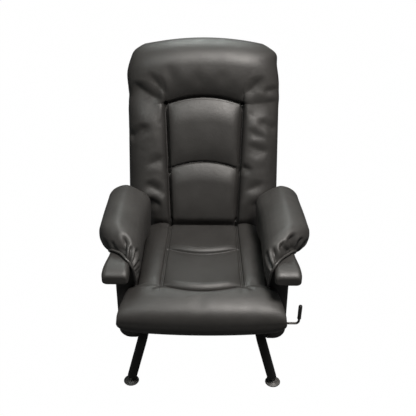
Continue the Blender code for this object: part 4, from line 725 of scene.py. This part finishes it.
def seat_cushion():
    """The seat: heights as a function of the row along it and the column across it.

    Behind the front seam a section is two low bolsters, two seam strips and a centre pad that rises towards a
    rolled lip at each arched seam. In front of it is one crown across the width, which turns down over the
    nose: distance goes by the sine of a quarter turn, and height by 1 minus powers of that sine.
    """
    roll_start = SEAT_STEP - SMALL_GAP
    stepped = SEAT_STEP - 0.0004
    rear_rows = mix(SEAT_REAR, SEAT_MID_SEAM, both_ends(46))[:-1]
    middle_rows = mix(SEAT_MID_SEAM, SEAT_FRONT_SEAM, both_ends(56))[:-1]
    front_rows = mix(SEAT_FRONT_SEAM, roll_start, np.linspace(0.0, 1.0, 8))
    quarter = np.linspace(0.0, math.radians(CLOSING_TURN), 62)[1:]
    nose_rows = mix(roll_start, SEAT_NOSE, np.sin(quarter))
    side = np.concatenate([rear_rows, middle_rows, front_rows, [roll_start - 0.0001], nose_rows])[:, None]
    over_nose = (1.0 - 0.52 * np.sin(quarter) ** 1.45) * (1.0 - np.sin(quarter) ** 8) ** 0.45
    flat = np.ones(len(side) - len(quarter))
    keep = np.concatenate([flat, over_nose])[:, None]
    keep_under = np.concatenate([flat, np.cos(quarter) ** 0.70])[:, None]

    share = (CREASE[1] - side) / SEAT_DEPTH
    panel_half = mix(PANEL_HALF_LOW, PANEL_HALF_FRONT, share)
    flare = held((SEAT_EAR - side) / (SEAT_EAR - SEAT_NOSE))
    wide = mix(EAR_START_HALF, EAR_HALF, flare) - 0.014 * (1.0 - keep_under) ** 4
    half = mix(SEAT_HALF, wide, ease((SEAT_EAR - side) / 0.012))
    ahead = held((roll_start - side) / (roll_start - SEAT_NOSE))
    rear_bow = SEAT_BOW * ease((SEAT_REAR - side) / (SEAT_REAR - SEAT_MID_SEAM))
    bow = np.where(side < roll_start, mix(SEAT_BOW, ROLL_BOW, ahead), rear_bow)
    top = CREASE[2] - 0.006 + SEAT_FRONT_RISE * share
    waist = mix(ROLL_BOTTOM, top, 0.54)
    base = np.where(side > stepped, SEAT_BASE, ROLL_BOTTOM)
    seam = mix(waist, top, keep)
    edge = mix(waist, top - 0.015, keep)
    foot = mix(waist, base, keep_under)
    shoulder = 0.014 * keep * mix(0.5, 1.0, ease((SEAT_REAR - side) / 0.02))

    behind = side > SEAT_MID_SEAM
    first = np.where(behind, SEAT_REAR, SEAT_MID_SEAM)
    last = np.where(behind, SEAT_MID_SEAM, SEAT_FRONT_SEAM)
    run = held((first - side) / (first - last))
    rolled = np.sin(held((side - last) / SEAT_LIP) * math.pi / 2.0)
    pad = np.where(behind, 0.018, 0.022) * mix(0.12, 1.0, run**1.8) * ease((first - side) / 0.03) * rolled
    roll_pad = 0.009 * ease((SEAT_FRONT_SEAM - side) / 0.018) * keep
    pad = np.where(side > SEAT_FRONT_SEAM, pad, roll_pad)

    turn, outward, middle, across = sewn_columns(panel_half, half, 36, 57)
    start = panel_half + SEAM_STRIP
    rise_bolster = mix(seam, edge, outward**2) + shoulder * np.sin(math.pi * turn)
    rise_strip = seam + 0.002 * keep * STRIP_ROUND
    rise = whole_width(rise_bolster, rise_strip, seam + pad * (1.0 - np.abs(middle) ** 5.0))

    out = np.abs(across)
    share_across = out / half
    crown = edge + (seam + roll_pad + 0.004 * keep - edge) * dome(share_across, 5.0)
    single = ease((SEAT_FRONT_SEAM + 0.040 - side) / 0.080)
    on_pad = ease((start - out) / 0.020)
    crowned = np.where(side > SEAT_FRONT_SEAM, single * (1.0 - on_pad), mix(single, 1.0, on_pad))
    rise = mix(rise, crown, crowned)
    rise -= 0.018 * (1.0 - ease((SEAT_REAR - side) / 0.013))
    over_width = dome(share_across, 2.0, 1.0)
    past_seam = ease((SEAT_FRONT_SEAM - side) / 0.05)
    along = side - bow * mix(dome(across / panel_half, 2.0, 1.0), over_width, past_seam)

    sewn = ease((side - SEAT_FRONT_SEAM + 0.003) / 0.006)
    relief = -0.0042 * hump(out - panel_half, 0.0026) * sewn - 0.0026 * hump(out - start, 0.0024) * sewn
    on_panel = ease((start - out) / 0.008)
    for line in (SEAT_MID_SEAM, SEAT_FRONT_SEAM):
        relief -= 0.0036 * hump(side - line, 0.0036) * on_panel
    for path, width, depth in SEAT_FOLDS:
        relief += fold(across, along, path, width, depth)
    relief += small_wrinkles(across, along, 20, (0.14, 0.19), (-0.30, 0.07), 0.0009)

    top_skin = np.stack([across, along, rise], axis=-1)
    top_skin = top_skin - normals_of(top_skin) * (relief * keep)[..., None]
    wall = 1.0 - dome(share_across, 11.0, 1.0 / 6.0)
    lag = -0.0307 * held((side - SEAT_MID_SEAM) / (SEAT_REAR - SEAT_MID_SEAM)) ** 2
    swelling = SIDE_BULGE * np.sin(math.pi * held(wall))
    under_along = side + lag * (1.0 - wall) - bow * over_width * (side < stepped)
    under_rise = foot + (edge - foot) * wall
    under_skin = np.stack([across + np.sign(across) * swelling, under_along, under_rise], axis=-1)
    under_skin[:, [0, -1]] = top_skin[:, [0, -1]]
    return two_skins("seat_cushion_cover", top_skin, under_skin)


# Arms


def rounded_bar(name, side, low, high, rounds, front, rear, ends, flare=0.0):
    """An upholstered bar along Y: a rectangle with its own round at each corner, drawn in at both ends.

    The ends give over what run and by how much the top, the sides and the bottom curve in, each as a quarter
    of an ellipse. Behind the front the outer side draws in by the flare, as a smooth step.
    """
    (top_run, top_drop), (side_run, side_draw), (bottom_run, bottom_rise) = ends
    outline = []
    for index, (way_x, way_z) in enumerate(((1, 1), (-1, 1), (-1, -1), (1, -1))):
        angle = math.pi + math.pi / 2.0 * (index + np.linspace(0.0, 1.0, 12))
        arc_x = (low if way_x > 0 else high)[0] + rounds[index] * (way_x + np.cos(angle))
        arc_z = (low if way_z > 0 else high)[1] + rounds[index] * (way_z + np.sin(angle))
        outline.append(np.stack([arc_x, arc_z], 1))
    outline = np.concatenate([*outline, outline[0][:1]])
    across, up = dense(outline, 0.0035)[:-1].T[:, None]
    y = mix(front, rear, both_ends(150))[:, None]
    from_end = np.minimum(y - front, rear - y)

    def drawn(run):
        return 1.0 - dome(held(1.0 - from_end / run), 2.0)

    middle = (low[0] + high[0]) / 2.0
    x = middle + (across - middle) * (1.0 - drawn(side_run) * 2.0 * side_draw / (high[0] - low[0]))
    x -= flare * ease((y - front - 0.015) / 0.110) * ease((across - middle) / (high[0] - middle))
    share = (up - low[1]) / (high[1] - low[1])
    z = mix(low[1] + bottom_rise * drawn(bottom_run), high[1] - top_drop * drawn(top_run), share)
    return rings(name, np.stack([side * x, np.broadcast_to(y, x.shape), z], -1))


PILLOW_LINES = np.array((
    # outline X and Z, closing line X and Z on the arm, front hem Y at the left and at the right
    (0.2040, 0.4020, 0.2107, 0.4020, -0.3115, -0.3215),
    (0.2005, 0.4150, 0.2107, 0.4150, -0.3175, -0.3295),
    (0.1968, 0.4400, 0.2110, 0.4360, -0.3235, -0.3395),
    (0.1948, 0.4700, 0.2130, 0.4580, -0.3295, -0.3465),
    (0.1950, 0.4950, 0.2165, 0.4730, -0.3325, -0.3495),
    (0.1985, 0.5160, 0.2205, 0.4830, -0.3335, -0.3505),
    (0.2070, 0.5345, 0.2245, 0.4915, -0.3325, -0.3485),
    (0.2190, 0.5490, 0.2300, 0.4975, -0.3295, -0.3435),
    (0.2340, 0.5615, 0.2370, 0.5010, -0.3235, -0.3335),
    (0.2500, 0.5710, 0.2450, 0.5022, -0.3115, -0.3225),
    (0.2620, 0.5765, 0.2530, 0.5025, -0.3005, -0.3125),
    (0.2700, 0.5785, 0.2610, 0.5025, -0.2935, -0.3045),
    (0.2800, 0.5778, 0.2700, 0.5025, -0.2885, -0.2955),
    (0.2930, 0.5744, 0.2770, 0.5022, -0.2835, -0.2865),
    (0.3060, 0.5685, 0.2830, 0.5010, -0.2785, -0.2785),
    (0.3180, 0.5600, 0.2880, 0.4980, -0.2715, -0.2705),
    (0.3280, 0.5478, 0.2920, 0.4930, -0.2625, -0.2625),
    (0.3350, 0.5310, 0.2940, 0.4860, -0.2535, -0.2535),
    (0.3375, 0.5110, 0.2945, 0.4790, -0.2455, -0.2455),
    (0.3355, 0.4940, 0.2945, 0.4735, -0.2385, -0.2385),
    (0.3310, 0.4820, 0.2945, 0.4705, -0.2345, -0.2345),
    (0.3250, 0.4770, 0.2945, 0.4690, -0.2335, -0.2335),
))


def pillow_lines():
    """The pillow's lines at even steps of the outline's length, smoothed by a bell-shaped running mean."""
    steps = np.linalg.norm(np.diff(PILLOW_LINES[:, :2], axis=0), axis=1)
    length = np.concatenate([[0.0], np.cumsum(steps)])
    places = np.linspace(0.0, length[-1], PILLOW_COLUMNS)
    lines = np.stack([np.interp(places, length, column) for column in PILLOW_LINES.T], 1)
    kernel = hump(np.arange(-12, 13), 4.6)
    kernel = kernel / kernel.sum()
    ahead = 2.0 * lines[0] - lines[12:0:-1]
    behind = 2.0 * lines[-1] - lines[-2:-14:-1]
    lines = np.concatenate([ahead, lines, behind])
    return np.stack([np.convolve(column, kernel, "valid") for column in lines.T], 1), places


PILLOW_PUCKERS = {
    # (path along the outline and back from the hem over the cloth, width, depth, rim)
    "left": (
        (((0.191, 0.008), (0.177, 0.046)), 0.0145, 0.0140, 0.0016),
        (((0.139, 0.004), (0.146, 0.036)), 0.0087, 0.0085, 0.0011),
        (((0.106, 0.004), (0.113, 0.048)), 0.0087, 0.0080, 0.0011),
        (((0.082, 0.002), (0.074, 0.034)), 0.0080, 0.0070, 0.0009),
        (((0.058, 0.002), (0.050, 0.026)), 0.0080, 0.0060, 0.0008),
        (((0.034, 0.002), (0.030, 0.024)), 0.0080, 0.0045, 0.0007),
        (((0.224, 0.002), (0.232, 0.016)), 0.0087, 0.0040, 0.0004),
        (((0.276, 0.002), (0.272, 0.020)), 0.0094, 0.0070, 0.0008),
        (((0.318, 0.002), (0.322, 0.030)), 0.0101, 0.0050, 0.0005),
    ),
    "right": (
        (((0.244, 0.004), (0.222, 0.046)), 0.0116, 0.0120, 0.0014),
        (((0.272, 0.006), (0.261, 0.034)), 0.0087, 0.0085, 0.0011),
        (((0.220, 0.004), (0.190, 0.038)), 0.0094, 0.0100, 0.0014),
        (((0.162, 0.004), (0.146, 0.040)), 0.0109, 0.0110, 0.0014),
        (((0.312, 0.004), (0.304, 0.036)), 0.0101, 0.0070, 0.0008),
        (((0.108, 0.004), (0.113, 0.052)), 0.0094, 0.0080, 0.0012),
        (((0.074, 0.004), (0.069, 0.046)), 0.0087, 0.0065, 0.0009),
        (((0.046, 0.004), (0.042, 0.036)), 0.0087, 0.0055, 0.0008),
        (((0.340, 0.004), (0.344, 0.024)), 0.0101, 0.0045, 0.0005),
    ),
}
PILLOW_COLUMNS = 260
PILLOW_REAR = 0.0620
PILLOW_SPLAY = {"left": 0.000, "right": 0.013}
HEM_SHARE = 0.11
HEM_RADIUS = 0.0040


def arm_pillow(word, side):
    """A slip-on arm pillow: its outline carried along the arm and drawn in to the hem at each end.

    Its share of the stand-off from the arm is a root of 1 minus a power of the distance left to the full
    outline. The front hem slants back to the outer side, and puckers run back from it.
    """
    lines, places = pillow_lines()
    outline, closing = lines[:, :2], lines[:, 2:4]
    front = lines[:, 4 if side < 0.0 else 5][None]
    first = np.linspace(0.0, 1.0, 46)[:-1] ** 1.5 * 0.22
    last = 1.0 - np.linspace(1.0, 0.0, 26) ** 1.6 * 0.14
    rows = np.concatenate([first, np.linspace(0.22, 0.86, 56)[:-1], last])[:, None]
    y = mix(front, PILLOW_REAR, rows)
    over_ridge = ease((places - 0.18) / 0.06)[None]
    near_front = held(1.0 - (y - front) / mix(0.078, 0.066, over_ridge))
    near_rear = held(1.0 - (PILLOW_REAR - y) / 0.026)
    out = dome(near_front, 2.0, mix(0.65, 0.54, over_ridge)) * dome(near_rear, 2.4)
    out = mix(HEM_SHARE, 1.0, out)
    points = closing[None] + (outline - closing)[None] * out[..., None]
    splay = held((0.03 - y) / 0.26) * ease((points[..., 0] - 0.22) / 0.10) * out
    points[..., 0] += PILLOW_SPLAY[word] * splay
    points[..., 1] -= 0.010 * ease((y + 0.12) / 0.16) * ease((points[..., 1] - 0.48) / 0.08)
    back_end = ease((y + 0.10) / 0.12) * out
    points[..., 0] -= 0.008 * back_end * ease((0.235 - points[..., 0]) / 0.03)
    points[..., 1] -= 0.016 * back_end * ease((0.44 - points[..., 1]) / 0.03)
    outer = np.stack([points[..., 0], y, points[..., 1]], -1)
    steps = np.linalg.norm(np.diff(outer, axis=0), axis=-1)
    from_hem = np.concatenate([np.zeros((1, len(places))), np.cumsum(steps, axis=0)])
    relief = sum(pucker(places[None], from_hem, *row) for row in PILLOW_PUCKERS[word])
    outer = outer + normals_of(outer) * relief[..., None]
    lining = mix(np.stack(np.broadcast_arrays(closing[:, 0], y, closing[:, 1]), -1), outer, 0.04)
    lining[:, [0, -1]] = outer[:, [0, -1]]
    outer[..., 0] *= side
    lining[..., 0] *= side
    return two_skins(f"arm_pillow_cover_{word}", outer, lining)


def hem_piping(word, side):
    """The corded hem of a pillow: a thin round cord along the front edge of its outline, on the arm cap."""
    lines, _ = pillow_lines()
    edge = mix(lines[:, 2:4], lines[:, :2], HEM_SHARE * 0.75)
    y = lines[:, 4 if side < 0.0 else 5] - 0.0030
    path = np.stack([side * edge[:, 0], y, edge[:, 1]], -1)
    return pipe(f"arm_pillow_hem_{word}", dense(path[8:-6], 0.003), HEM_RADIUS, 16, Y_AXIS)


# Back cover


def rear_cover():
    """The padded cover behind the back: a shallow pan that swells between rounded sides and a domed top."""
    turn = np.linspace(0.0, math.pi / 2.0, 18)
    dome_start = COVER_TOP - COVER_DOME
    upright = np.linspace(COVER_FOOT, dome_start, 96)[:-1]
    height = np.concatenate([upright, dome_start + COVER_DOME * np.sin(turn)])[:, None]
    closing = np.concatenate([np.ones(len(upright)), np.cos(turn)])[:, None]
    half = mix(BACK_NARROW, BACK_WIDE, ease((height - SHOULDER_START) / SHOULDER_RUN)) - COVER_INSET
    half -= COVER_TOP_INSET * ease((height + COVER_DOME - COVER_TOP) / COVER_DOME)
    across = np.linspace(-1.0, 1.0, 121)[None]
    across = np.sign(across) * (1.0 - (1.0 - np.abs(across)) ** 1.7)
    section = dome(np.abs(across), 7.0)
    depth = BACK_DEPTH + SMALL_GAP + COVER_DEPTH * section * dome(1.0 - closing, 2.0)
    side_seam = -0.003 * hump(np.abs(across) * half - half + 0.035, 0.004) * (closing > 0.99)
    relief = side_seam - 0.002 * hump(height - 0.10, 0.006) * section
    points = back_place(across * half, height, -(depth + relief * section))
    obj = put("back_rear_cover_skin", points.reshape(-1, 3), [grid_faces(*points.shape[:2], False)])
    sheet = obj.modifiers.new("sheet", "SOLIDIFY")
    sheet.thickness = COVER_SHEET
    sheet.offset = -1.0
    return obj


# Legs, feet and lever


def leg_line(side, end):
    """The ball of a foot, and the corner above it where its leg would meet the rail."""
    foot_y, bend_y = LEG_ENDS[end]
    return np.array([side * FOOT_X, foot_y, BALL_Z]), np.array([side * RAIL_X, bend_y, RAIL_Z])


def leg_frame(word, side):
    """One bent tube: front leg, rail under the seat and rear leg, with arcs at its corners and soft ends."""
    front, front_bend = leg_line(side, "front")
    rear, rear_bend = leg_line(side, "rear")
    front += unit(front_bend - front) * LEG_START
    rear += unit(rear_bend - rear) * LEG_START
    path = rounded_corners([front, front_bend, rear_bend, rear], TUBE_BEND, 18)
    steps = np.array([0.0, 0.0012, 0.003])[:, None]
    first = path[0] + unit(path[1] - path[0]) * steps
    last = path[-1] + unit(path[-2] - path[-1]) * steps[::-1]
    path = np.concatenate([first, path[1:-1], last])
    radius = np.full(len(path), TUBE_RADIUS)
    radius[[0, -1]] = TUBE_RADIUS - 0.0015
    radius[[1, -2]] = TUBE_RADIUS - 0.0005
    return pipe(f"leg_tube_{word}", path, radius, 44, X_AXIS)


def foot_disc(word, ball):
    """A moulded foot disc: a low dome with a rolled rim that rises to the socket's collar."""
    profile = [
        (0.0005, 0.0), (0.0235, 0.0), (0.0252, 0.0006), (0.0260, 0.0018), (0.0260, 0.0032), (0.0254, 0.0043),
        (0.0240, 0.0051), (0.0205, 0.0060), (0.0165, 0.0075), (0.0138, 0.0098), (0.0122, 0.0120),
        (0.0112, 0.0130), (0.0098, 0.0134), (0.0080, 0.0132), (0.0072, 0.0126), (0.0068, 0.0115),
        (0.0067, 0.0095), (0.0065, 0.0079), (0.0058, 0.0061), (0.0048, 0.0048), (0.0034, 0.0037),
        (0.0018, 0.0030), (0.0005, 0.0028),
    ]
    return turned(f"foot_disc_dome_{word}", profile, (ball[0], ball[1], 0.0), Z_AXIS, 64)


def foot_stem(word, ball, axis):
    """A plated foot stem: ball, narrow neck, round collar with softened edges, and the shank in the tube."""
    angle = np.linspace(math.pi, math.asin(0.0025 / BALL_RADIUS), 14)
    profile = [(max(0.0002, BALL_RADIUS * math.sin(t)), BALL_RADIUS * math.cos(t)) for t in angle]
    profile += [
        (0.0026, 0.0082), (0.0034, 0.0085), (0.0068, 0.0086), (0.0075, 0.0092), (0.0075, 0.0129),
        (0.0068, 0.0135), (0.0040, 0.0136), (0.0040, 0.0360), (0.0034, 0.0374), (0.0002, 0.0375),
    ]
    return turned(f"foot_stem_plated_{word}", profile, ball, axis, 40)


def lever_rod():
    """The bent release rod: a straight shaft, one tight bend and a short upright."""
    path = rounded_corners(LEVER_CORNERS, LEVER_BEND, 16)
    path = np.concatenate([dense(path[:2], 0.02), path[2:]])
    return pipe("lever_rod_bent", path, LEVER_RADIUS, 28, Y_AXIS)


def lever_grip():
    """The sleeve on the rod's upright: slightly barrelled, with a rolled mouth and a domed tip."""
    up = unit(LEVER_CORNERS[2] - LEVER_CORNERS[1])
    start = LEVER_CORNERS[2] + up * (SMALL_GAP - GRIP_LENGTH)
    profile = [
        (0.0043, 0.0006), (0.0055, 0.0), (0.0063, 0.0004), (0.0067, 0.0015), (0.0066, 0.004), (0.0063, 0.008),
        (0.0064, 0.020), (0.0066, 0.034), (0.0066, 0.046), (0.0065, 0.0515), (0.0060, 0.0540),
        (0.0048, 0.0555), (0.0026, 0.0562), (0.0002, 0.0564),
    ]
    return turned("lever_grip_sleeve", profile, start, up, 40)


def dress_frame():
    """Procedural finishes for the plain nodes that stay, by the first list with a word of the node's name."""
    finishes = (
        (ZINC, "leg_plate arm_bolt pivot_bolt gas_rod_nut crank_pin lever_finger lever_hanger"),
        (STEEL, "hinge back_hoop back_cross_tube gas_cylinder gas_spring_bracket crank_fork"),
        (GROUND, "gas_rod release_pin"),
        (WOOD, "seat_rail"),
        (WEBBING, "webbing"),
        (DUST, "dust_cover"),
        (PLASTIC, "lever_bush"),
    )
    for name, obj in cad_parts.items():
        for surface, words in finishes:
            if any(word in name for word in words.split()):
                obj.data.materials.clear()
                obj.data.materials.append(surface)
                break


# Studio


def lamp(name, place, aim, size, power, tint):
    """A round area lamp that faces a point."""
    light = bpy.data.lights.new(name, "AREA")
    light.shape = "DISK"
    light.size = size
    light.energy = power
    light.color = tint
    obj = bpy.data.objects.new(name, light)
    obj.location = place
    x, y, z = np.array(aim, float) - np.array(place, float)
    obj.rotation_euler = (math.atan2(math.hypot(x, y), -z), 0.0, math.atan2(y, x) - math.pi / 2.0)
    bpy.context.scene.collection.objects.link(obj)


def studio():
    """The photograph's camera, a key lamp above right, a weak fill, three lamps behind, floor and air."""
    scene = bpy.context.scene
    scene.view_settings.view_transform = "Standard"
    lens = bpy.data.cameras.new("camera")
    lens.lens = 57.46
    lens.sensor_width = 36.0
    lens.shift_x = 0.0112
    camera = bpy.data.objects.new("camera", lens)
    camera.location = (0.028, -2.0235, 1.663)
    camera.rotation_euler = (math.radians(60.1), 0.0, math.atan2(0.028, 2.042))
    scene.collection.objects.link(camera)
    scene.camera = camera

    warm, cool = (1.0, 0.955, 0.915), (0.93, 1.0, 0.965)
    lamp("key_lamp", (0.63, -0.93, 2.90), (0.0, 0.02, 0.45), 0.75, 92.0, warm)
    lamp("fill_lamp", (-0.95, -1.00, 2.70), (0.0, 0.05, 0.60), 1.00, 14.0, cool)
    lamp("top_lamp", (-0.20, 1.90, 3.20), (0.0, 0.15, 0.80), 1.10, 36.0, cool)
    lamp("rear_lamp_right", (0.42, 3.30, 3.25), (0.1, 0.0, 0.60), 0.35, 12.0, cool)
    lamp("rear_lamp_left", (-0.24, 3.30, 3.25), (-0.1, 0.0, 0.60), 0.35, 9.0, cool)

    white = (1.0, 1.0, 1.0, 1.0)
    scene.world = bpy.data.worlds.new("white_air")
    scene.world.use_nodes = True
    air = Nodes(scene.world.node_tree)
    air.tree.nodes.clear()
    shown = air.add("ShaderNodeBackground", Color=white, Strength=1.0)
    place = air.add("ShaderNodeTexCoord").outputs["Generated"]
    up = air.add("ShaderNodeSeparateXYZ", Vector=place).outputs["Z"]
    soft = air.add("ShaderNodeBackground", Color=white, Strength=air.between(up, 0.006, 0.08, 0.0, 1.0))
    both = air.blend(air.seen(), soft.outputs["Background"], shown.outputs["Background"])
    air.add("ShaderNodeOutputWorld", Surface=both)

    span = np.linspace(-6.0, 6.0, 13)
    x, y = np.meshgrid(span, span)
    points = np.stack([x.ravel(), y.ravel(), np.full(x.size, -0.0004)], 1)
    floor = put("floor", points, [grid_faces(len(span), len(span), False)])
    look = Finish("pale_floor", 0.8, gloss=0.1)
    look.colour(look.noise(1.5, 2.0), (0.3, (0.050, 0.050, 0.050)), (0.7, (0.060, 0.060, 0.060)))
    share = look.math("MULTIPLY", look.seen(), 0.998)
    glow = look.add("ShaderNodeEmission", Color=white, Strength=1.0)
    both = look.blend(share, look.shader.outputs["BSDF"], glow.outputs["Emission"])
    look.feed(look.tree.nodes["Material Output"].inputs["Surface"], both)
    floor.data.materials.append(look.material)


def arm(word, side):
    """One arm: the panel, the cap on it, the slip-on pillow and the cord of its hem."""
    panel = rounded_bar(
        f"arm_panel_cover_{word}", side, low=(0.2118, 0.160), high=(0.2788, 0.4447),
        rounds=(0.010, 0.040, 0.010, 0.010), front=-0.2965, rear=0.0685, ends=((0.009, 0.009),) * 3,
    )
    upholster(panel, "seat_base", LEATHER, f"arm_panel_{word}")
    cap = rounded_bar(
        f"arm_cap_cover_{word}", side, low=(0.2238, 0.445), high=(0.3058, 0.50), rounds=(0.016,) * 4,
        front=-0.3885, rear=0.0635, ends=((0.075, 0.026), (0.016, 0.008), (0.020, 0.010)), flare=0.013,
    )
    upholster(cap, "seat_base", LEATHER, f"arm_cap_{word}")
    upholster(arm_pillow(word, side), "seat_base", PILLOW_PAINTED_LIGHT, f"arm_pillow_{word}")
    fit(hem_piping(word, side), "seat_base", PIPING_PAINTED_LIGHT, "black_leathercloth")


def main():
    studio()
    dress_frame()
    upholster(back_cushion(), "back", LEATHER, "back_cushion")
    upholster(seat_cushion(), "seat_base", LEATHER, "seat_cushion")
    upholster(rear_cover(), "back", LEATHER, "back_rear_cover")
    for word, side in (("left", -1.0), ("right", 1.0)):
        arm(word, side)
        fit(leg_frame(word, side), "seat_base", STEEL, "black_painted_steel", f"leg_frame_{word}")
        for end in LEG_ENDS:
            ball, bend = leg_line(side, end)
            name = f"{end}_{word}"
            fit(foot_disc(name, ball), f"foot_{name}", PLASTIC, "black_plastic", f"foot_disc_{name}")
            fit(foot_stem(name, ball, bend - ball), "seat_base", NICKEL, "bright_nickel", f"foot_stem_{name}")
    fit(lever_rod(), "lever", GROUND, "ground_steel", "lever_rod")
    fit(lever_grip(), "lever", RUBBER, "black_rubber", "lever_grip")


main()
